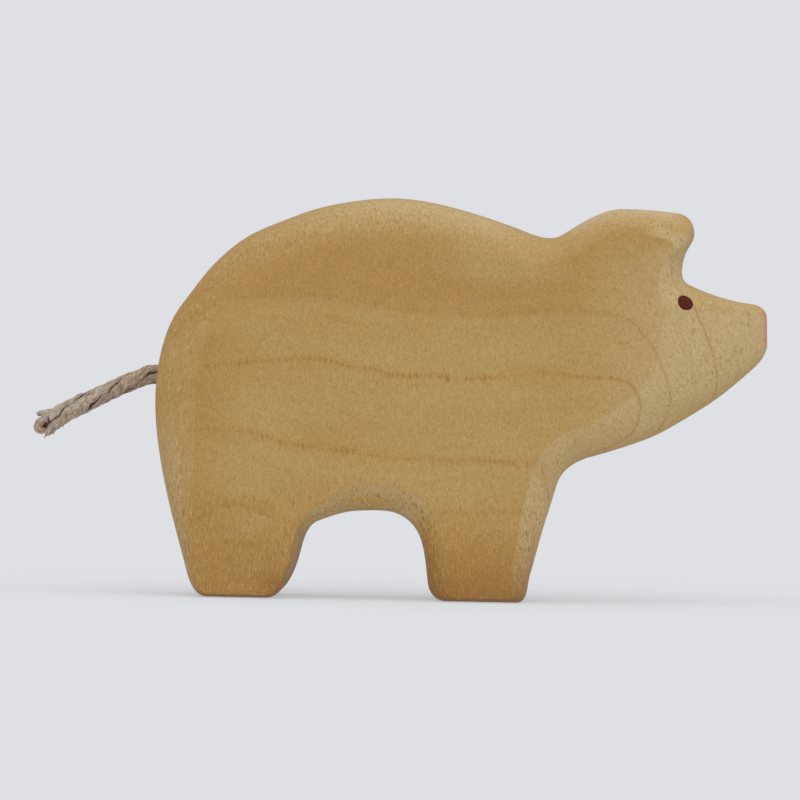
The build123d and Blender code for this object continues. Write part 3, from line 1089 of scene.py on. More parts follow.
@dataclass(frozen=True)
class SnoutPaintFinish:
    """Thin coral paint that lets the wood show through at its rim.

    Attributes:
        coral: Colour of the paint.
        cover: How much of the wood it hides.
        rim_edge: Ways from the middle to the rim at which the paint ends and is full.
    """

    coral: Colour = (0.48, 0.16, 0.092)
    cover: float = 0.76
    rim_edge: tuple[float, float] = (0.95, 0.83)

    def material(self, grain: bpy.types.NodeTree) -> bpy.types.Material:
        """Makes the finish over the wood's grain.

        Args:
            grain: The grain of the wood under the paint.

        Returns:
            The material.
        """
        material, sheet, shader = new_material("snout_paint")
        place = sheet.place()
        wood = sheet.add("ShaderNodeGroup", {"Place": place, "Sanding": 1.0}, node_tree=grain).outputs
        dabs = sheet.noise(sheet.millimetres(place), (0.5, 0.5, 0.9), detail=3.0, roughness=0.6)
        worn = sheet.calc("ADD", sheet.mark(Mark.RIM), sheet.ease(dabs, 0.3, 0.7, -0.03, 0.03))
        cover = sheet.ease(worn, *self.rim_edge, 0.0, self.cover)
        look = {
            "Base Color": sheet.mix(cover, wood["Color"], self.coral),
            "Roughness": sheet.ease(dabs, 0.3, 0.7, 0.5, 0.64),
            "Normal": sheet.bump(wood["Height"], 0.3, 0.0001),
            "Specular IOR Level": 0.3,
        }
        sheet.feed(shader, look)
        return material


@dataclass(frozen=True)
class GlueFinish:
    """Dried wood glue, amber and a little cloudy.

    Attributes:
        clear: Colour where it is clear.
        cloudy: Colour where it has trapped air.
    """

    clear: Colour = (0.5, 0.36, 0.17)
    cloudy: Colour = (0.72, 0.62, 0.42)

    def material(self) -> bpy.types.Material:
        """Makes the finish.

        Returns:
            The material.
        """
        material, sheet, shader = new_material("wood_glue")
        clouds = sheet.noise(sheet.millimetres(sheet.place()), (1.1, 1.1, 1.1), detail=3.0)
        look = {
            "Base Color": sheet.mix(sheet.ease(clouds, 0.4, 0.65), self.clear, self.cloudy),
            "Roughness": sheet.ease(clouds, 0.3, 0.7, 0.25, 0.45),
        }
        sheet.feed(shader, look)
        return material


# The carved body


@dataclass(frozen=True)
class Anchor:
    """A point that the saw's line passes, and how it moves to the flat side.

    Attributes:
        x: Place along the pig on the outer edge.
        z: Height on the outer edge.
        heading: Direction of the line in degrees, 0 forward and 90 up.
        dx: Change of x to the flat side.
        dz: Change of z to the flat side.
        turn: Change of heading to the flat side.
        straight: Whether the line to the next anchor is straight.
        lean: Share of the saw's lean that it takes.
    """

    x: float
    z: float
    heading: float
    dx: float
    dz: float
    turn: float
    straight: bool = False
    lean: float = 0.0


@dataclass
class CarvedBody:
    """The pig's body, sawn from a board and rounded by hand, with a hole for the tail.

    The skin is a function of two parameters: u runs once round the outline and v runs over the edge of the
    board, from the right flat side over the rounding, straight across, and over the other rounding.

    Attributes:
        rump_x: Rearmost place.
        snout_x: Foremost place.
        height: Height of the back.
        half_board: Half of the board's thickness.
        hole_z: Height of the tail's hole.
        edge_depth: How far the rounding reaches in from each flat side.
        saw_lean: How far the saw leans forward across the board, of which some anchors take a share.
        step: Distance of the outline's points.
        rounding_rows: Rows of points over each rounding.
        band_rows: Rows of points straight across, between the roundings.
        crease: How soon the rounding leaves the flat side, as a share of its width.
        crease_turn: Share of the whole turn that is made at the crease.
        fine_steps: Steps in which a rounding's section is summed up.
        row_power: Power by which a rounding's rows crowd at the crease.
        hand: How far the sanded skin strays from an even one.
        hole_radius: Radius of the tail's hole.
        hole_depth: Depth of the tail's hole.
        hole_patch: Half the width of the patch in which the hole's rings replace the grid.
        heel_in: From the rump to the hind heel.
        leg: Length of each foot, from heel to toe.
        arch_length: From the hind toe to the front heel.
        ear_in: From the snout back to the ear's root.
        neck_in: From the ear's root back to the neck.
        dip_drop: From the back down to the dip at the neck.
        ear_drop: From the back down to the ear's top.
        lips_drop: From the ear's top down to the snout's upper and lower edge.
        cheek_in: How far behind the snout's end its flat sides end.
        mouth: For each ring of the hole's mouth, how much wider and how much deeper it is than the hole's edge.
        hand_long: Waves a millimetre along x and y, and the shift, of the hand's long strokes.
        hand_tall: Waves a millimetre along z, and the shift, that break these up.
        hand_short: Waves a millimetre along x, y and z of the hand's short strokes.
        hand_share: Share of the short strokes.
        hand_from: Sanding between which the straying sets in.
        hand_above: Heights between which it sets in.
        hand_off: Distances from the hole between which it sets in.
        probe: Step by which the skin's slope is measured.
        lay_steps: Newton's steps when points are laid on the skin.
        lay_limit: Longest of these steps, in grid points.
        grid: The skin's points, once built.
        sanding: How far each row of the grid is over the edge, from 0 to 1, once built.
    """

    rump_x: float
    snout_x: float
    height: float
    half_board: float
    hole_z: float
    edge_depth: float = 5.0
    saw_lean: float = 2.0
    step: float = 0.55
    rounding_rows: int = 16
    band_rows: int = 11
    crease: float = 0.05
    crease_turn: float = 0.16
    fine_steps: int = 801
    row_power: float = 1.25
    hand: float = 0.05
    hole_radius: float = 1.7
    hole_depth: float = 12.0
    hole_patch: float = 2.8
    heel_in: float = 6.4
    leg: float = 16.2
    arch_length: float = 22.9
    ear_in: float = 14.2
    neck_in: float = 22.0
    dip_drop: float = 4.9
    ear_drop: float = 1.0
    lips_drop: tuple[float, float] = (18.1, 22.3)
    cheek_in: float = 19.8
    mouth: Curve = ((0.55, 0.0), (0.22, 0.02), (0.06, 0.12), (0.0, 0.35), (0.0, 3.0))
    hand_long: Point = (0.21, 0.3, 1.0)
    hand_tall: tuple[float, float] = (0.17, 0.9)
    hand_short: Point = (0.47, -0.5, 0.39)
    hand_share: float = 0.6
    hand_from: tuple[float, float] = (0.1, 0.5)
    hand_above: tuple[float, float] = (0.5, 5.0)
    hand_off: tuple[float, float] = (4.0, 8.0)
    probe: float = 0.25
    lay_steps: int = 12
    lay_limit: float = 2.0
    grid: Array = field(default_factory=lambda: np.zeros((0, 0, 3)))
    sanding: Array = field(default_factory=lambda: np.zeros(0))

    def anchors(self) -> list[Anchor]:
        """Anchors of the outline, clockwise as the pig's right side shows it.

        Returns:
            The anchors, placed from the rump, the snout, the floor and the back.
        """
        rump, snout, top = self.rump_x, self.snout_x, self.height
        hind_heel = rump + self.heel_in
        hind_toe = hind_heel + self.leg
        front_heel = hind_toe + self.arch_length
        front_toe = front_heel + self.leg
        arch = (hind_toe + front_heel) / 2
        ear_root = snout - self.ear_in
        neck = ear_root - self.neck_in
        dip, ear = top - self.dip_drop, top - self.ear_drop
        lip_top, lip_low = (ear - drop for drop in self.lips_drop)
        cheek = -self.cheek_in
        return [
            Anchor(hind_heel + 2.83, 0.0, 180, 0.4, 0.75, 0),
            Anchor(hind_heel - 0.65, 4.14, 105.6, 1.65, 0.56, -14.6),
            Anchor(rump + 0.13, 32.85, 90, 8.07, 1.65, 0),
            Anchor(arch - 29.5, top - 17.34, 53, 6.08, -4.18, 8.9),
            Anchor(arch - 20.25, top - 7.24, 34.5, 4.16, -6.03, 1.4),
            Anchor(arch - 14.13, top - 4.12, 23.2, 2.72, -6.41, 1.6),
            Anchor(arch + 5.03, top, 0, -1.93, -7.4, 0),
            Anchor(neck - 5.94, dip + 0.7, -18.3, 0.34, -6.5, 2.3),
            Anchor(neck + 2.5, dip - 0.42, 32.8, -0.8, -4.98, -12.8),
            Anchor(neck + 12.21, ear + 0.06, -0.6, -1.11, -4.36, 2.6),
            Anchor(ear_root - 0.7, ear - 0.51, -8.2, -4.8, -4.39, -1.8),
            Anchor(ear_root + 1.88, ear - 3.82, -90.1, -4.08, -2.78, -4.9),
            Anchor(ear_root + 0.41, ear - 7.23, -106.7, -4.71, -3.07, 6.7),
            Anchor(ear_root + 1.14, lip_top + 5.95, -25.4, -5.94, -2.05, -62.6),
            Anchor(snout - 2.61, lip_top + 3.04, -5.4, cheek + 3.51, -1.39, -86.6),
            Anchor(snout - 0.21, lip_top + 0.74, -90, cheek + 0.21, -2.19, -5, straight=True),
            Anchor(snout - 0.11, lip_low + 0.68, -90, cheek + 0.11, -0.68, -10),
            Anchor(snout - 2.22, lip_low - 3.28, -134.8, cheek + 0.88, -1.07, 22.8),
            Anchor(ear_root - 2.69, 28.37, -150.8, -8.31, 4.47, 12.8),
            Anchor(front_toe + 9.94, 24.09, -164.2, -4.42, 4.37, 6.2),
            Anchor(front_toe + 4.28, 19.43, -107, -4.53, 2.0, 1),
            Anchor(front_toe + 0.22, 4.45, -105.1, -3.57, 0.15, 5.1),
            Anchor(front_toe - 1.85, 0.0, -180, -2.05, 0.75, 0, straight=True),
            Anchor(front_heel + 2.6, 0.0, -180, 1.4, 0.75, 0),
            Anchor(front_heel - 0.21, 2.68, -261.9, 2.51, 0.52, -3.1),
            Anchor(front_heel - 1.52, 10.1, -250.1, 3.12, 2.32, -5.9),
            Anchor(arch + 4.28, 14.54, -184.8, 1.7, 4.46, -4.2),
            Anchor(arch - 0.39, 14.46, -177.2, -0.83, 4.54, -1.8),
            Anchor(hind_toe + 4.39, 12.57, -157.2, -0.5, 2.2, 8.0, lean=0.4),
            Anchor(hind_toe + 0.63, 5.37, -107.1, -0.5, 0.2, 1.1, lean=0.4),
            Anchor(hind_toe - 3.73, 0.0, -180, -0.3, 0.6, 0, straight=True),
        ]

    def rounding(self) -> tuple[Array, Array, Array]:
        """Section of a rounded edge, from the flat side to the outer edge.

        The surface turns from 0 to 90 degrees, a part of that at once as a soft crease and the rest evenly.
        Its place is the running sum of the turn's cosine and sine, scaled to the edge's width and depth.

        Returns:
            For each row its way over the edge from 0 to 1, its share of the width and its depth.
        """
        fine = np.linspace(0.0, 1.0, self.fine_steps)
        at_once = 1.0 - np.exp(-fine / self.crease)
        turn = (math.pi / 2) * (self.crease_turn * at_once + (1.0 - self.crease_turn) * fine)
        turn *= (math.pi / 2) / turn[-1]
        width = np.concatenate([[0.0], np.cumsum((np.cos(turn[1:]) + np.cos(turn[:-1])) / 2)])
        depth = np.concatenate([[0.0], np.cumsum((np.sin(turn[1:]) + np.sin(turn[:-1])) / 2)])
        way = np.linspace(0.0, 1.0, self.rounding_rows) ** self.row_power
        share = 1.0 - np.interp(way, fine, width / width[-1])
        return way, share, self.edge_depth * np.interp(way, fine, depth / depth[-1])

    def outline(self, share: Array, y: Array) -> Array:
        """Points of the outline in every row.

        Each line from one anchor to the next is a cubic curve that leaves and arrives along the headings, with
        handles of the chord over 3 cos^2(turn / 4), which makes an even turn a round arc.

        Args:
            share: How far each row has moved to the flat side.
            y: Place of each row across the board.

        Returns:
            x and z for each point round the outline and each row.
        """
        anchors = self.anchors()
        table = np.array([[a.x, a.z, a.heading, a.dx, a.dz, a.turn, a.lean] for a in anchors])[:, :, None]
        lean = table[:, 6] * self.saw_lean * y / (2 * self.half_board)
        start = np.stack([table[:, 0] + table[:, 3] * share + lean, table[:, 1] + table[:, 4] * share], axis=-1)
        heading = np.radians(table[:, 2] + table[:, 5] * share)
        end, arriving = np.roll(start, -1, axis=0), np.roll(heading, -1, axis=0)
        turn = (arriving - heading + math.pi) % (2 * math.pi) - math.pi
        chord = np.linalg.norm(end - start, axis=-1)
        handle = (chord / (3 * np.cos(turn / 4) ** 2))[..., None]
        straight = np.array([a.straight for a in anchors])[:, None, None]
        leaving = np.where(straight, start + (end - start) / 3, start + handle * unit(heading))
        coming = np.where(straight, end - (end - start) / 3, end - handle * unit(arriving))

        counts = np.maximum(6, np.ceil(chord.max(axis=1) / self.step)).astype(int)
        edge = np.repeat(np.arange(len(anchors)), counts)
        first = np.repeat(np.cumsum(counts) - counts, counts)
        t = ((np.arange(counts.sum()) - first) / counts[edge])[:, None, None]
        return (
            (1 - t) ** 3 * start[edge]
            + 3 * (1 - t) ** 2 * t * leaving[edge]
            + 3 * (1 - t) * t**2 * coming[edge]
            + t**3 * end[edge]
        )

    def carve(self) -> None:
        """Works out the skin's grid: the outline in every row, strayed a little as by a sanding hand.

        The straying is a long wave over x and y, broken up by a wave over z, plus a shorter wave over all three.
        """
        way, share, depth = self.rounding()
        flat = self.half_board - depth
        band = np.linspace(-flat[-1], flat[-1], self.band_rows)[1:-1]
        y = np.concatenate([-flat, band, flat[::-1]])
        shares = np.concatenate([share, np.zeros(band.size), share[::-1]])
        self.sanding = np.concatenate([way, np.ones(band.size), way[::-1]])
        outline = self.outline(shares, y)
        x, z = outline[..., 0], outline[..., 1]
        grid = np.stack(np.broadcast_arrays(x, y, z), axis=-1)
        long_x, long_y, shift = self.hand_long
        tall_z, tall_shift = self.hand_tall
        stray = np.sin(long_x * x + long_y * y + shift) * np.sin(tall_z * z + tall_shift)
        stray += self.hand_share * np.sin(grid @ np.array(self.hand_short))
        stray *= smooth_step(self.sanding, *self.hand_from) * smooth_step(z, *self.hand_above)
        stray *= np.where(x > 0, 1.0, smooth_step(np.hypot(y, z - self.hole_z), *self.hand_off))
        self.grid = grid - self.hand * stray[..., None] * self.normals(grid)

    @staticmethod
    def normals(grid: Array) -> Array:
        """Outward unit normals of a grid, from the cross product of its two runs."""
        round_way = np.roll(grid, -1, axis=0) - np.roll(grid, 1, axis=0)
        over_way = np.gradient(grid, axis=1)
        return normalised(np.cross(round_way, over_way))

    def skin(self, u: Array, v: Array) -> Array:
        """Points of the skin between the grid's, bilinear in the two parameters."""
        rounds, rows = self.grid.shape[:2]
        v = np.clip(v, 0.0, rows - 1.001)
        i, j = np.floor(u).astype(int), np.floor(v).astype(int)
        s, t = (u - i)[..., None], (v - j)[..., None]
        here, after = i % rounds, (i + 1) % rounds
        low = (1 - s) * self.grid[here, j] + s * self.grid[after, j]
        high = (1 - s) * self.grid[here, j + 1] + s * self.grid[after, j + 1]
        return (1 - t) * low + t * high

    def lay(self, target: Array, axes: tuple[int, int], allowed: Array) -> tuple[Array, Array]:
        """Drops points straight onto the skin.

        From the nearest grid point, Newton's steps in u and v bring the two wanted coordinates to the target.

        Args:
            target: Wanted values of two coordinates, on the last axis.
            axes: Which coordinates these are.
            allowed: Which grid points the search may start from.

        Returns:
            The points on the skin and its outward normals there.
        """
        index = np.argwhere(allowed)
        near = self.grid[allowed][:, axes]
        flat = target.reshape(-1, 2)
        best = index[np.linalg.norm(flat[:, None] - near[None], axis=-1).argmin(axis=1)].astype(float)
        u, v, h = best[:, 0], best[:, 1], self.probe
        for _ in range(self.lay_steps):
            here = self.skin(u, v)
            du = (self.skin(u + h, v) - self.skin(u - h, v))[:, axes] / (2 * h)
            dv = (self.skin(u, v + h) - self.skin(u, v - h))[:, axes] / (2 * h)
            miss = flat - here[:, axes]
            area = du[:, 0] * dv[:, 1] - du[:, 1] * dv[:, 0]
            area = np.where(np.abs(area) < TINY, TINY, area)
            step_u = (miss[:, 0] * dv[:, 1] - miss[:, 1] * dv[:, 0]) / area
            step_v = (du[:, 0] * miss[:, 1] - du[:, 1] * miss[:, 0]) / area
            u = u + np.clip(step_u, -self.lay_limit, self.lay_limit)
            v = v + np.clip(step_v, -self.lay_limit, self.lay_limit)
        normal = np.cross(self.skin(u + h, v) - self.skin(u - h, v), self.skin(u, v + h) - self.skin(u, v - h))
        shape = (*target.shape[:-1], 3)
        return self.skin(u, v).reshape(shape), normalised(normal).reshape(shape)

    def tail_hole(self) -> tuple[Array, Array, Array, Array]:
        """Hole for the tail: a patch of the grid is left out and rings lead from its border into the wood.

        The rings take the border points' directions from the hole's axis. They shrink to the mouth, which is a
        little rounded, run down the wall and end in a flat bottom.

        Returns:
            The new points, the new quads, the bottom's corners, and which grid quads are left out.
        """
        rounds, rows = self.grid.shape[:2]
        middle = self.grid[:, rows // 2]
        inside = (np.abs(middle[:, 2] - self.hole_z) < self.hole_patch) & (middle[:, 0] < 0)
        columns = np.flatnonzero(inside)
        band = np.flatnonzero(np.abs(self.grid[0, :, 1]) <= self.hole_patch + NEAR)
        low, high = columns[0], columns[-1]
        left, right = band[0], band[-1]
        border = np.concatenate(
            [
                np.stack([np.arange(low, high), np.full(high - low, left)], axis=1),
                np.stack([np.full(right - left, high), np.arange(left, right)], axis=1),
                np.stack([np.arange(high, low, -1), np.full(high - low, right)], axis=1),
                np.stack([np.full(right - left, low), np.arange(right, left, -1)], axis=1),
            ]
        )
        edge = self.grid[border[:, 0], border[:, 1]]
        angle = np.arctan2(edge[:, 2] - self.hole_z, edge[:, 1])
        order = np.argsort(middle[columns, 2])
        surface_z, surface_x = middle[columns, 2][order], middle[columns, 0][order]
        wider, sunk = np.array([*self.mouth, (0.0, self.hole_depth)]).T[..., None]
        ring_y = (self.hole_radius + wider) * np.cos(angle)
        ring_z = self.hole_z + (self.hole_radius + wider) * np.sin(angle)
        ring_x = np.interp(ring_z, surface_z, surface_x) + sunk
        ring_x[-1] = np.interp(self.hole_z, surface_z, surface_x) + self.hole_depth
        rings = np.stack([ring_x, ring_y, ring_z], axis=-1)

        new = rounds * rows + np.arange(rings.size // 3).reshape(rings.shape[:2])
        loops = np.concatenate([(border[:, 0] * rows + border[:, 1])[None], new])
        after = np.roll(loops, -1, axis=1)
        quads = np.stack([loops[:-1], after[:-1], after[1:], loops[1:]], axis=-1).reshape(-1, 4)
        i, j = np.meshgrid(np.arange(rounds), np.arange(rows - 1), indexing="ij")
        gone = ((i >= low) & (i < high) & (j >= left) & (j < right)).reshape(-1)
        return rings.reshape(-1, 3), quads, loops[-1], gone

    def build(self) -> bpy.types.Object:
        """Makes the mesh: the skin, the two flat sides and the tail's hole.

        Returns:
            The body's object.
        """
        self.carve()
        rounds, rows = self.grid.shape[:2]
        rings, wall, bottom, gone = self.tail_hole()
        quads = np.concatenate([grid_quads(rounds, rows, close_rows=True)[~gone][:, ::-1], wall])
        right = (np.arange(rounds) * rows)[::-1]
        left = np.arange(rounds) * rows + rows - 1
        points = np.concatenate([self.grid.reshape(-1, 3), rings])
        used = np.zeros(len(points), bool)
        used[quads] = True
        index = np.cumsum(used) - 1
        faces = [index[flat].tolist() for flat in (right, left, bottom)] + index[quads].tolist()
        sanding = np.concatenate([np.tile(self.sanding, rounds), np.ones(len(rings))])
        # How far each point looks down, which the wood's painted underside shade follows
        under = np.clip(-self.normals(self.grid)[..., 2], 0.0, 1.0).ravel()
        under = np.concatenate([under, np.zeros(len(rings))])
        marks = {Mark.SANDING: sanding[used], Mark.UNDER: under[used]}
        return make_piece("carved_body", points[used], faces, marks, flat_faces=(0, 1, 2))

    def dress(self, piece: bpy.types.Object, material: bpy.types.Material) -> None:
        """Gives the body its finish and puts it in the place of its solid."""
        piece.data.materials.append(material)
        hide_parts("body")
        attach(piece, Mover.FIGURE.value)


# Paint


@dataclass
class PaintCoat:
    """A dab of paint that lies on the carved body, a lens with its rim sunk into the wood.

    Its points are polar: the share of the way from the middle to the rim, and the angle round the middle.

    Attributes:
        name: Name of the piece.
        node: The solid that it replaces.
        slot: Its material slot; not used.
        half_size: Half its length and half its width.
        nudge: How far its middle lies from that of its solid.
        tilt: Angle of its length in degrees.
        squareness: Power of its outline, 2 for an oval and more for a squarer one.
        wobble: How far the brush strayed from an even outline, as a share of the size.
        phase: Where round the outline the brush strayed.
        second_wave: Size of the outline's second wave, as a share of the first.
        coat: Thickness of the paint.
        lens: Power of the coat's section, higher for a flatter one.
        sink: How far the rim is sunk into the wood, as a share of the coat.
        rings: Steps from the middle to the rim.
        spokes: Steps round the middle.
    """

    name: str
    node: str
    slot: Slot
    half_size: tuple[float, float]
    nudge: tuple[float, float] = (0.0, 0.0)
    tilt: float = 0.0
    squareness: float = 2.0
    wobble: float = 0.03
    phase: float = 0.0
    second_wave: float = 0.7
    coat: float = 0.09
    lens: int = 6
    sink: float = 0.4
    rings: int = 14
    spokes: int = 72

    def spread(self) -> tuple[Array, Array]:
        """Flat shape of the dab, about its middle.

        The rim is a rounded rectangle (|cos|^n + |sin|^n)^(-1/n), turned by the tilt, with two small waves.

        Returns:
            The way from the middle to the rim for each ring, and two coordinates for each ring and spoke.
        """
        way = np.linspace(0.0, 1.0, self.rings + 1)[1:]
        angle = np.linspace(0.0, 2 * math.pi, self.spokes, endpoint=False)
        power = self.squareness
        reach = (np.abs(np.cos(angle)) ** power + np.abs(np.sin(angle)) ** power) ** (-1 / power)
        waves = np.sin(2 * angle + self.phase) + self.second_wave * np.sin(3 * angle + 2 * self.phase)
        reach *= 1 + self.wobble * waves
        long_way = self.half_size[0] * reach * np.cos(angle)
        wide_way = self.half_size[1] * reach * np.sin(angle)
        c, s = math.cos(math.radians(self.tilt)), math.sin(math.radians(self.tilt))
        rim = np.stack([c * long_way - s * wide_way, s * long_way + c * wide_way], axis=-1)
        return way, np.concatenate([np.zeros((1, 2)), (way[:, None, None] * rim).reshape(-1, 2)])

    def build(self, body: CarvedBody, axes: tuple[int, int], allowed: Array) -> bpy.types.Object:
        """Makes the dab on the body.

        Args:
            body: The carved body, already built.
            axes: The two coordinates that the dab is flat in.
            allowed: Which points of the body's grid it may lie on.

        Returns:
            The dab's object.
        """
        low, high = solid_box(self.node)
        way, flat = self.spread()
        point, normal = body.lay((low + high)[list(axes)] / 2 + self.nudge + flat, axes, allowed)
        share = np.concatenate([[0.0], np.repeat(way, self.spokes)])
        film = self.coat * (1 - (1 + self.sink) * share[:, None] ** self.lens)
        points = np.concatenate([point + film * normal, point - self.coat * normal])
        size = len(share)
        tips, rings, last = disc_faces(self.rings, self.spokes)
        turned = np.roll(last, -1)
        rim = np.stack([last, size + last, size + turned, turned], axis=-1)
        faces = [*tips.tolist(), *rings.tolist(), *rim.tolist()]
        faces += (size + tips[:, ::-1]).tolist() + (size + rings[:, ::-1]).tolist()
        if np.dot(np.cross(*(points[tips[0, 1:]] - points[tips[0, 0]])), normal[0]) < 0:
            faces = [face[::-1] for face in faces]
        return make_piece(self.name, points, faces, {Mark.RIM: np.tile(share, 2)})

    def dress(self, piece: bpy.types.Object, material: bpy.types.Material) -> None:
        """Gives the dab its finish and puts it in the place of its solid."""
        piece.data.materials.append(material)
        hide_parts(self.node)
        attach(piece, Mover.FIGURE.value)


# The tail


@dataclass(frozen=True)
class LooseEnd:
    """A loose end of a strand: a tube through a few places, with rounded tips.

    Attributes:
        places: Places along it: how far beyond the route's end, up from it and to the pig's right.
        thick: Radii at its start and at its tip.
        depth: How deep it lies in the twine, from 0 to 1, which gives it painted shade.
    """

    places: tuple[Point, ...]
    thick: tuple[float, float]
    depth: float = 0.0


@dataclass
class TwineTail:
    """A short piece of three-strand twine, glued into the rump and frayed at its free end.

    A strand is a third of the twine: a sector of a disc with rounded corners, carried along the route while it
    winds round it. Before the end the strands stop, and their loose ends go on: one curls round in front, one
    stands off the top and some stubs hang below. Fine fibres stand off all of them.

    Attributes:
        exit: Where the twine leaves the rump.
        glued: How far the twine reaches into the wood.
        bend: Where the free stretch begins to turn.
        route: Places along the free stretch, the last of them at the frayed end.
        diameter: Thickness of the twine.
        lay: Length in which a strand goes once round the twine.
        yarn_lay: Length in which a yarn goes once round its strand.
        yarns: Yarns that show as ripples round each strand.
        squareness: Power of the strand's section, higher for sharper corners.
        steps: Points along each strand.
        sides: Points round each strand.
        strands: Strands of the twine.
        first_turn: Angle of the first strand at the end, from the pig's right, in degrees.
        twist_waves: Unevenness of the twist: reach in radians, waves a millimetre and shift a strand.
        core: Distance of a strand's middle from the route, as a share of the twine's radius.
        crown: How far its section reaches in and out from there, as a share of the radius.
        end_swell: How much the twine swells at its end, and how far before the end that begins and is full.
        exit_swell: How much it swells where it leaves the wood, how far beyond the hole, and over what length.
        lump: Size of slow lumps, as a share of the radius.
        ripple: Size of the yarns' ripples, as a share of the radius.
        knob: Size of small knobs, as a share of the radius.
        knob_waves: The knobs' waves: size, waves a millimetre and waves round the strand.
        gape: How far the gaps between strands open and close, as a share of a strand's width.
        pivot: Where a strand narrows to at its ends, as a share of the radius.
        blunt: Length of a strand's rounded end.
        gap_edge: Shares of the radius at which a gap is deep and has ended.
        end_shade: How much painted shade darkens a strand's end, and how far before it that begins and is full.
        slack: Length over which the twist comes undone at the end.
        fray: How far before the route's end the strands stop.
        ends: The loose ends.
        fuzz: Count of fine fibres along the twine.
        wisps: Count of fine fibres on each loose end.
        end_steps: Points along each loose end.
        end_sides: Points round each loose end.
        fibre_steps: Points along each fibre.
        fibre_sides: Points round each fibre.
        map_gap: Distance of one tube from the next in the UV map, in millimetres.
        seed: Start of the fibres' chance.
    """

    exit: Point
    glued: float
    bend: tuple[float, float] = (-51.643, 36.1)
    route: tuple[tuple[float, float], ...] = ((-56.2, 33.95), (-61.2, 31.6), (-65.9, 29.05), (-69.1, 27.1))
    diameter: float = 3.1
    lay: float = 22.0
    yarn_lay: float = 5.2
    yarns: int = 7
    squareness: float = 3.2
    steps: int = 240
    sides: int = 48
    strands: int = 3
    first_turn: float = 166.0
    twist_waves: tuple[Point, ...] = ((0.12, 1.3, 1.1), (0.07, 2.9, 0.0), (0.035, 6.3, 0.0))
    core: float = 0.53
    crown: float = 0.46
    end_swell: Point = (0.13, 12.0, 6.5)
    exit_swell: Point = (0.09, 0.6, 1.4)
    lump: float = 0.03
    ripple: float = 0.014
    knob: float = 0.012
    knob_waves: tuple[Point, ...] = ((1.0, 3.1, 2), (1.0, 1.9, -3), (0.8, 7.7, 5))
    gape: float = 0.05
    pivot: float = 0.55
    blunt: float = 0.7
    gap_edge: tuple[float, float] = (0.72, 0.95)
    end_shade: Point = (0.9, 0.9, 0.2)
    slack: float = 4.5
    fray: float = 1.5
    ends: tuple[LooseEnd, ...] = (
        LooseEnd(
            (
                (-4.0, 0.45, 0.5), (-2.0, 0.7, 0.8), (-0.6, 0.72, 0.9),
                (0.32, 0.3, 0.85), (0.3, -0.45, 0.75), (-0.35, -0.95, 0.6),
            ),
            (0.75, 0.62),
        ),
        LooseEnd(((-4.6, 0.85, 0.2), (-3.1, 1.15, 0.3), (-1.8, 1.7, 0.35), (-0.5, 2.05, 0.3)), (0.55, 0.42)),
        LooseEnd(((-3.4, -0.6, 0.6), (-1.6, -0.95, 0.8), (-0.05, -1.75, 0.6)), (0.75, 0.42)),
        LooseEnd(((-3.3, -0.8, 0.1), (-2.0, -1.25, 0.3), (-0.95, -1.9, 0.3)), (0.6, 0.42)),
        LooseEnd(((-5.0, -0.75, 0.4), (-3.6, -1.2, 0.5), (-2.8, -1.62, 0.45)), (0.6, 0.46)),
        LooseEnd(((-2.8, 0.0, -0.3), (-1.4, -0.1, -0.3), (-0.2, -0.3, -0.3)), (1.0, 0.85), depth=0.9),
    )
    fuzz: int = 26
    wisps: int = 2
    end_steps: int = 30
    end_sides: int = 20
    fibre_steps: int = 6
    fibre_sides: int = 5
    map_gap: float = 60.0
    seed: int = 7

    def centreline(self) -> Array:
        """Points of the route, read from one smooth curve whose control points are the route's.

        Returns:
            Points in metres, close together, from the glued end to the frayed end.
        """
        inside = self.exit[0] + self.glued
        control = [(inside, self.exit[2]), (inside - 0.5 * self.glued, self.exit[2]), (self.exit[0], self.exit[2])]
        control += [self.bend, *self.route]
        curve = bpy.data.curves.new("tail_route", "CURVE")
        curve.dimensions = "3D"
        curve.resolution_u = 48
        spline = curve.splines.new("NURBS")
        spline.points.add(len(control) - 1)
        places = np.array([(x * MM, 0.0, z * MM, 1.0) for x, z in control])
        spline.points.foreach_set("co", places.ravel())
        spline.order_u = 3
        spline.use_endpoint_u = True
        holder = bpy.data.objects.new("tail_route", curve)
        bpy.context.scene.collection.objects.link(holder)
        bpy.context.view_layer.update()
        mesh = bpy.data.meshes.new_from_object(holder)
        line = np.empty(len(mesh.vertices) * 3)
        mesh.vertices.foreach_get("co", line)
        bpy.data.objects.remove(holder)
        bpy.data.curves.remove(curve)
        bpy.data.meshes.remove(mesh)
        return line.reshape(-1, 3)

    @staticmethod
    def frames(line: Array, way: Array) -> tuple[Array, Array, Array]:
        """Places along a line with the directions along it and up from it.

        Args:
            line: Points of the line in millimetres.
            way: Distances from its start, beyond its end where a strand is longer.

        Returns:
            The places, the unit tangents and the unit vectors up, which are square to the tangents and to y.
        """
        run = run_along(line)
        tangent = np.gradient(line, run, axis=0)
        place = np.stack([np.interp(way, run, line[:, k]) for k in range(3)], axis=-1)
        along = normalised(np.stack([np.interp(way, run, tangent[:, k]) for k in range(3)], axis=-1))
        place += np.maximum(way - run[-1], 0.0)[..., None] * along
        up = np.stack([along[..., 2], np.zeros(way.shape), -along[..., 0]], axis=-1)
        return place, along, up

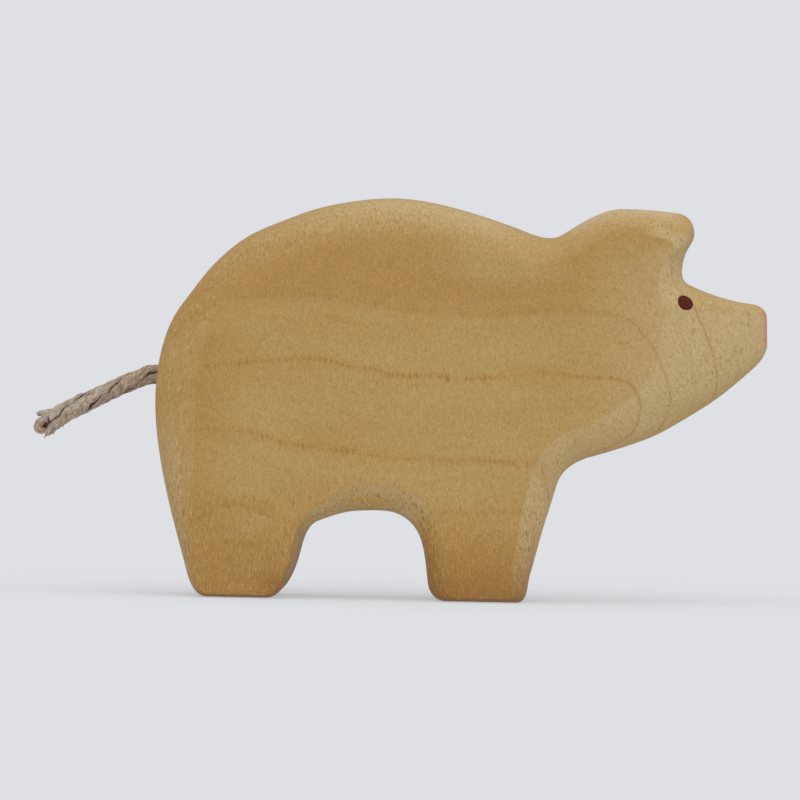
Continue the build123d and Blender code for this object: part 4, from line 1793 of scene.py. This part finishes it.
    def strand_skins(self, line: Array, length: float) -> tuple[Array, Array]:
        """Points of the strands' skins.

        In the section the angle b gives the distance from the route, R (core + crown c), and the angle round it,
        60 degrees times s, where c and s are cos b and sin b raised to 2 / squareness. Ripples that wind the
        other way stand for the yarns, and slow waves close and open the gaps.

        Args:
            line: Points of the route in millimetres.
            length: Length of the route.

        Returns:
            Points for each strand, step and side, and how much painted shade each gets: by how deep it is in a gap,
            and at the strand's end.
        """
        strand = np.arange(self.strands)[:, None]
        each = strand[..., None]
        stop = length - self.fray
        way = np.broadcast_to(np.linspace(0.0, stop, self.steps), (self.strands, self.steps))
        run = way[..., None]
        place, _, up = self.frames(line, way)
        left = length - way
        untwisted = self.slack * (1.0 - np.exp(-left / self.slack))
        turn = math.radians(self.first_turn) + 2 * math.pi * (strand / self.strands + (left - untwisted) / self.lay)
        for reach, rate, shift in self.twist_waves:
            turn = turn + reach * np.sin(rate * left + shift * strand)
        b = np.linspace(-math.pi, math.pi, self.sides, endpoint=False)
        c, s = (np.sign(wave) * np.abs(wave) ** (2 / self.squareness) for wave in (np.cos(b), np.sin(b)))

        size, begins, full = self.end_swell
        bulge, beyond, spread = self.exit_swell
        swell = 1.0 + size * smooth_step(left, begins, full)
        swell = (swell + bulge * np.exp(-(((way - self.glued - beyond) / spread) ** 2)))[..., None]
        radius = self.diameter / 2
        ripple = np.cos(self.yarns * b + 2 * math.pi * run / self.yarn_lay + 1.7 * each)
        lumps = np.sin(0.9 * run + 2.2 * each) * np.sin(2.3 * run + 4.1 * each)
        turned = b + 2.0 * each
        knobs = sum(share * np.sin(rate * run + waves * turned) for share, rate, waves in self.knob_waves)
        reach = radius * (self.core + self.crown * c) * (1.0 + self.lump * lumps)
        reach = (reach + radius * (self.ripple * ripple + self.knob * knobs)) * swell
        closed = 1.0 + self.gape * np.sin(1.7 * run + 2.6 * each) * np.sin(0.8 * run + 1.0)
        angle = turn[..., None] + (math.pi / self.strands) * closed * s
        offset = reach[..., None] * (np.cos(angle)[..., None] * RIGHTWARD + np.sin(angle)[..., None] * up[:, :, None])
        middle = self.pivot * radius * (np.cos(turn)[..., None] * RIGHTWARD + np.sin(turn)[..., None] * up)
        thick = rounded_off((stop - way) / self.blunt)[..., None, None]
        points = (place + middle)[:, :, None] + thick * (offset - middle[:, :, None])
        # Painted shade deep in the gaps between strands
        gap = 1.0 - smooth_step(reach / (radius * swell), *self.gap_edge)
        # Painted shade darkens each strand towards its end
        dark, begins, full = self.end_shade
        return points, np.maximum(gap, dark * smooth_step(run, stop - begins, stop - full))

    @staticmethod
    def tubes(lines: Array, radius: Array, sides: int) -> Array:
        """Rings of points round lines, as circles square to each line.

        Args:
            lines: Points for each line and step.
            radius: Radius at each of them.
            sides: Points round each ring.

        Returns:
            Points for each line, step and side.
        """
        along = normalised(np.gradient(lines, axis=1))
        first = normalised(np.cross(along, TUBE_SIDE))
        second = np.cross(along, first)
        angle = np.linspace(0.0, 2 * math.pi, sides, endpoint=False)
        ring = np.cos(angle)[:, None] * first[:, :, None] + np.sin(angle)[:, None] * second[:, :, None]
        return lines[:, :, None] + radius[:, :, None, None] * ring

    @staticmethod
    def tube_faces(tubes: int, steps: int, sides: int, first: int = 0) -> list[list[int]]:
        """Faces of closed tubes: quads along each and a cap on both ends.

        Args:
            tubes: Count of tubes.
            steps: Rings of each tube.
            sides: Points of each ring.
            first: Index of the first point.

        Returns:
            The faces' indices.
        """
        index = first + np.arange(tubes * steps * sides).reshape(tubes, steps, sides)
        turned = np.roll(index, -1, axis=2)
        quads = np.stack([index[:, :-1], turned[:, :-1], turned[:, 1:], index[:, 1:]], axis=-1).reshape(-1, 4)
        return [*quads.tolist(), *index[:, 0, ::-1].tolist(), *index[:, -1].tolist()]

    def loose_ends(self, line: Array, steps: int) -> tuple[Array, Array]:
        """Middle lines of the loose ends, with a radius that is rounded off at both tips.

        Args:
            line: Points of the route in millimetres.
            steps: Points along each.

        Returns:
            Points for each loose end and step, and the radii there.
        """
        along = normalised(line[-1] - line[-4])
        axes = np.stack([along, [along[2], 0.0, -along[0]], RIGHTWARD])
        lines = np.stack([line[-1] + smooth_path(np.array(loose.places), steps) @ axes for loose in self.ends])
        start, tip = np.array([loose.thick for loose in self.ends]).T[..., None]
        run = run_along(lines)
        radius = start + (tip - start) * run / run[:, -1:]
        near = np.minimum(run, run[:, -1:] - run) / radius
        waves = 1.0 + 0.07 * np.sin(5.5 * run + 2.0 * np.arange(len(lines))[:, None])
        return lines, radius * waves * rounded_off(near)

    def fibres(self, line: Array, length: float, loose: Array) -> tuple[Array, Array]:
        """Fine fibres along the twine and on its loose ends, each a short curve.

        A fibre rises from the twine and bends along it. A wisp goes on from a loose end's tip and fans out.

        Args:
            line: Points of the route in millimetres.
            length: Length of the route.
            loose: Middle lines of the loose ends.

        Returns:
            Points for each fibre and step, and the radii there.
        """
        chance = np.random.default_rng(self.seed)
        t = np.linspace(0.0, 1.0, self.fibre_steps)
        start = length - 1.5 - (length - self.glued - 3.0) * chance.random(self.fuzz)
        reach = chance.uniform(0.4, 1.2, self.fuzz)[:, None]
        place, _, up = self.frames(line, start[:, None] + reach * t)
        angle = chance.uniform(0.0, 2 * math.pi, (self.fuzz, 1)) + chance.uniform(-0.7, 0.7, (self.fuzz, 1)) * t
        outward = np.cos(angle)[..., None] * RIGHTWARD + np.sin(angle)[..., None] * up
        lift = 0.46 * self.diameter + chance.uniform(0.05, 0.25, (self.fuzz, 1)) * t**1.5
        fuzz = place + lift[..., None] * outward
        fuzz_radius = np.broadcast_to(0.024 * (1.0 - 0.6 * t), lift.shape)

        root = np.repeat(loose[:, -3], self.wisps, axis=0)
        heading = normalised(np.repeat(loose[:, -1] - loose[:, -6], self.wisps, axis=0))
        fan = chance.normal(0.0, 1.0, (len(root), 3))
        size = chance.uniform(0.2, 0.5, (len(root), 1, 1))
        wisps = root[:, None] + 0.16 * fan[:, None]
        wisps = wisps + size * (heading[:, None] * t[:, None] + 0.4 * fan[:, None] * t[:, None] ** 1.5)
        wisp_radius = chance.uniform(0.07, 0.14, (len(root), 1)) * (1.0 - 0.6 * t**2)
        return np.concatenate([fuzz, wisps]), np.concatenate([fuzz_radius, wisp_radius])

    def build(self) -> tuple[bpy.types.Object, Array]:
        """Makes the twine's strands, loose ends and fibres as one mesh.

        Returns:
            The tail's object and the points of its route in metres.
        """
        route = self.centreline()
        line = route / MM
        length = float(run_along(line)[-1])
        skins, gap = self.strand_skins(line, length)
        loose, loose_radius = self.loose_ends(line, self.end_steps)
        tubes = self.tubes(loose, loose_radius, self.end_sides)
        hairs = self.tubes(*self.fibres(line, length, loose), self.fibre_sides)
        points = np.concatenate([part.reshape(-1, 3) for part in (skins, tubes, hairs)])
        faces = self.tube_faces(*skins.shape[:3])
        faces += self.tube_faces(*tubes.shape[:3], first=skins.size // 3)
        faces += self.tube_faces(*hairs.shape[:3], first=(skins.size + tubes.size) // 3)
        # Painted shade on the loose ends, by how deep they lie in the twine
        depth = np.repeat([end.depth for end in self.ends], tubes[0].size // 3)
        gaps = np.concatenate([gap.ravel(), depth, np.zeros(hairs.size // 3)])
        piece = make_piece("twine_tail", points, faces, {Mark.GAP: gaps})
        wraps = [self.wrap(part, first) for part, first in ((skins, 0.0), (tubes, 200.0), (hairs, 400.0))]
        corner = np.empty(len(piece.data.loops), int)
        piece.data.loops.foreach_get("vertex_index", corner)
        layer = piece.data.uv_layers.new(name=STRAND_MAP)
        layer.data.foreach_set("uv", np.concatenate(wraps)[corner].ravel())
        return piece, route

    def wrap(self, tubes: Array, first: float) -> Array:
        """UV places in millimetres on tubes, along each and to and fro round it, so that there is no seam.

        Args:
            tubes: Points for each tube, step and side.
            first: Where the first tube begins along u.

        Returns:
            u and v for each point.
        """
        count, _, sides = tubes.shape[:3]
        middle = tubes.mean(axis=2)
        run = run_along(middle)[..., None]
        reach = np.linalg.norm(tubes - middle[:, :, None], axis=-1).max(axis=2).mean(axis=1)[:, None, None]
        b = np.linspace(-math.pi, math.pi, sides, endpoint=False)
        u = first + self.map_gap * np.arange(count)[:, None, None] + run
        v = 1.6 * reach * np.arcsin(np.sin(b)) + 0.22 * run
        return np.stack(np.broadcast_arrays(u, v), axis=-1).reshape(-1, 2)

    def dress(self, piece: bpy.types.Object, route: Array, material: bpy.types.Material) -> None:
        """Args:
            piece: The tail.
            route: Points of its route in metres; not used.
            material: Its finish.
        """
        piece.data.materials.append(material)
        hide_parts("tail_root", "tail_cord")
        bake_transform(piece)


# The studio


@dataclass
class Studio:
    """Camera, soft lamps, a pale floor and an even pale surround.

    Attributes:
        aim: Place in millimetres, x and z, that the middle of the picture shows.
        width: Width in millimetres that the picture shows at the board's near edge.
        near_edge: How far the board's near edge is in front of its middle, in millimetres.
        distance: Distance of the camera from the board's middle, in metres.
        roll: How far the camera is turned about its own line of sight, in degrees.
        sensor: Width of the camera's sensor, in millimetres.
        surround: Colour of the background.
        tent: Colour of the even light from all round.
        tent_light: Strength of that light.
        floor_share: Share of the floor's look that takes light and shadow.
        bounce: Share of the floor's light on the figure that is even, as from a light tent.
        floor_reach: Radius of the floor, in millimetres.
        floor_power: Power by which the floor's rings crowd at its middle.
        floor_drop: How far the floor lies below the soles, in millimetres.
        floor_fade: Distances from the middle between which the floor turns even, in metres.
        floor_rings: Rings of the floor's points.
        floor_spokes: Points of each ring.
    """

    aim: tuple[float, float] = (-9.9, 32.7)
    width: float = 130.75
    near_edge: float = 7.0
    distance: float = 0.8
    roll: float = 1.15
    sensor: float = 36.0
    surround: Colour = (0.73, 0.745, 0.776)
    tent: Colour = (0.96, 0.98, 1.0)
    tent_light: float = 0.66
    floor_share: float = 0.45
    bounce: float = 0.65
    floor_reach: float = 3000.0
    floor_power: float = 1.5
    floor_drop: float = 0.02
    floor_fade: tuple[float, float] = (0.045, 0.16)
    floor_rings: int = 24
    floor_spokes: int = 96

    def build(self) -> None:
        """Sets up the camera, the lamps, the floor and the surround."""
        self.camera()
        self.surroundings()
        self.floor()
        self.lamp("overhead_softbox", (0.1, -0.25, 0.75), (0.9, 0.7), 2.7)
        self.lamp("front_softbox", (-0.1, -0.95, 0.14), (0.9, 0.5), 2.3)
        self.lamp("head_softbox", (0.85, -0.4, 0.12), (0.6, 0.5), 1.4)
        self.lamp("rump_softbox", (-0.85, -0.4, 0.2), (0.6, 0.6), 0.8)
        bpy.context.scene.view_settings.view_transform = "Standard"

    def camera(self) -> None:
        """Places the camera in front of the right side, level with the figure's middle."""
        data = bpy.data.cameras.new("camera")
        data.sensor_width = self.sensor
        data.lens = data.sensor_width * (self.distance / MM - self.near_edge) / self.width
        camera = bpy.data.objects.new("camera", data)
        bpy.context.scene.collection.objects.link(camera)
        roll = math.radians(self.roll)
        right = (math.cos(roll), 0.0, math.sin(roll))
        up = (-math.sin(roll), 0.0, math.cos(roll))
        back = (0.0, -1.0, 0.0)
        place = (self.aim[0] * MM, -self.distance, self.aim[1] * MM)
        camera.matrix_world = by_axes(right, up, back, place)
        bpy.context.scene.camera = camera

    def surroundings(self) -> None:
        """Makes the world: even soft light, and the background's colour where the camera sees it."""
        world = bpy.data.worlds.new("surround")
        bpy.context.scene.world = world
        sheet = NodeSheet.of(world)
        light = sheet.add("ShaderNodeBackground", {"Color": (*self.tent, 1.0), "Strength": self.tent_light})
        seen = sheet.add("ShaderNodeBackground", {"Color": (*self.surround, 1.0), "Strength": 1.0})
        shaders = {0: self.seen_directly(sheet), 1: light.outputs[0], 2: seen.outputs[0]}
        mixed = sheet.add("ShaderNodeMixShader", shaders)
        sheet.add("ShaderNodeOutputWorld", {"Surface": mixed.outputs[0]})

    @staticmethod
    def seen_directly(sheet: NodeSheet) -> Socket:
        """1 where the camera sees a surface itself, or in a reflection or through glass."""
        path = sheet.add("ShaderNodeLightPath").outputs
        return sheet.largest(path["Is Camera Ray"], path["Is Glossy Ray"], path["Is Transmission Ray"])

    def floor(self) -> None:
        """Makes a round floor that takes the figure's shadow near it and fades into the surround further out."""
        reach = np.linspace(0.0, 1.0, self.floor_rings + 1)[1:] ** self.floor_power * self.floor_reach
        angle = np.linspace(0.0, 2 * math.pi, self.floor_spokes, endpoint=False)
        flat = (reach[:, None, None] * unit(angle)).reshape(-1, 2)
        points = np.zeros((1 + len(flat), 3))
        points[1:, :2] = flat
        points[:, 2] = -self.floor_drop
        tips, quads, _ = disc_faces(self.floor_rings, self.floor_spokes)
        piece = make_piece("floor", points, [*tips.tolist(), *quads.tolist()])
        material = bpy.data.materials.new("pale_floor")
        sheet = NodeSheet.of(material)
        away = sheet.add("ShaderNodeVectorMath", {0: sheet.place()}, operation="LENGTH").outputs["Value"]
        matte = sheet.add("ShaderNodeBsdfDiffuse", {"Color": (*self.surround, 1.0)})
        glow = sheet.add("ShaderNodeEmission", {"Color": (*self.surround, 1.0), "Strength": 1.0})
        even = sheet.ease(away, *self.floor_fade, 1.0 - self.floor_share, 1.0)
        share = sheet.between(self.seen_directly(sheet), self.bounce, even)
        mixed = sheet.add("ShaderNodeMixShader", {0: share, 1: matte.outputs[0], 2: glow.outputs[0]})
        sheet.add("ShaderNodeOutputMaterial", {"Surface": mixed.outputs[0]})
        piece.data.materials.append(material)

    def lamp(self, name: str, place: Point, size: tuple[float, float], power: float) -> None:
        """Adds a soft rectangular lamp that points at the figure.

        Args:
            name: Name of the lamp.
            place: Where it hangs, in metres.
            size: Its width and height in metres.
            power: Its power in watts.
        """
        data = bpy.data.lights.new(name, "AREA")
        data.shape = "RECTANGLE"
        data.size, data.size_y = size
        data.energy = power
        lamp = bpy.data.objects.new(name, data)
        bpy.context.scene.collection.objects.link(lamp)
        back = normalised(np.array(place) - np.array([self.aim[0] * MM, 0.0, self.aim[1] * MM]))
        across = normalised(np.cross((0.0, 0.0, 1.0), back))
        lamp.matrix_world = by_axes(across, np.cross(back, across), back, place)


def main() -> None:
    """Builds the figurine round the frame, piece by piece, and sets up the studio."""
    logging.basicConfig(level=logging.INFO, format="%(name)s: %(message)s")
    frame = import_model()

    low, high = solid_box("body")
    root_low, root_high = solid_box("tail_root")
    hole_z = float(root_low[2] + root_high[2]) / 2

    Studio().build()
    LOG.info("studio set up")

    tail = TwineTail(exit=(float(root_low[0]), 0.0, hole_z), glued=float(root_high[0] - root_low[0]))
    twine, route = tail.build()
    tail.dress(twine, route, TwineFinish().material())
    LOG.info("%s: %d points", twine.name, len(twine.data.vertices))

    maple = MapleFinish()
    grain = maple.grain()
    body = CarvedBody(float(low[0]), float(high[0]), float(high[2]), float(high[1]), hole_z)
    carved = body.build()
    body.dress(carved, maple.material(grain))
    LOG.info("%s: %d points", carved.name, len(carved.data.vertices))

    eye_finish = EyePaintFinish().material()
    for side, node in ((Side.RIGHT, "eye_paint_right"), (Side.LEFT, "eye_paint_left")):
        eye = PaintCoat(
            node.replace("paint", "dab"),
            node,
            Slot.EYE_PAINT,
            half_size=(1.46, 1.15),
            nudge=(-0.38, 0.075),
            tilt=-47.0,
            phase=0.6 + side.value,
        )
        allowed = side.value * body.grid[..., 1] > body.half_board - body.edge_depth
        dab = eye.build(body, (0, 2), allowed)
        eye.dress(dab, eye_finish)
        LOG.info("%s: %d points", dab.name, len(dab.data.vertices))

    snout = PaintCoat(
        "snout_dab",
        "snout_paint",
        Slot.SNOUT_PAINT,
        half_size=(8.9, 4.55),
        nudge=(0.0, 0.95),
        squareness=6.0,
        wobble=0.015,
        phase=1.3,
        coat=0.05,
        rings=36,
        spokes=160,
    )
    dab = snout.build(body, (1, 2), body.grid[..., 0] > body.snout_x - 4.0)
    snout.dress(dab, SnoutPaintFinish().material(grain))
    LOG.info("%s: %d points", dab.name, len(dab.data.vertices))

    glue = frame["nodes"]["tail_glue"]
    glue.data.materials.clear()
    glue.data.materials.append(GlueFinish().material())

    LOG.info("sizes written")


if __name__ == "__main__":
    main()
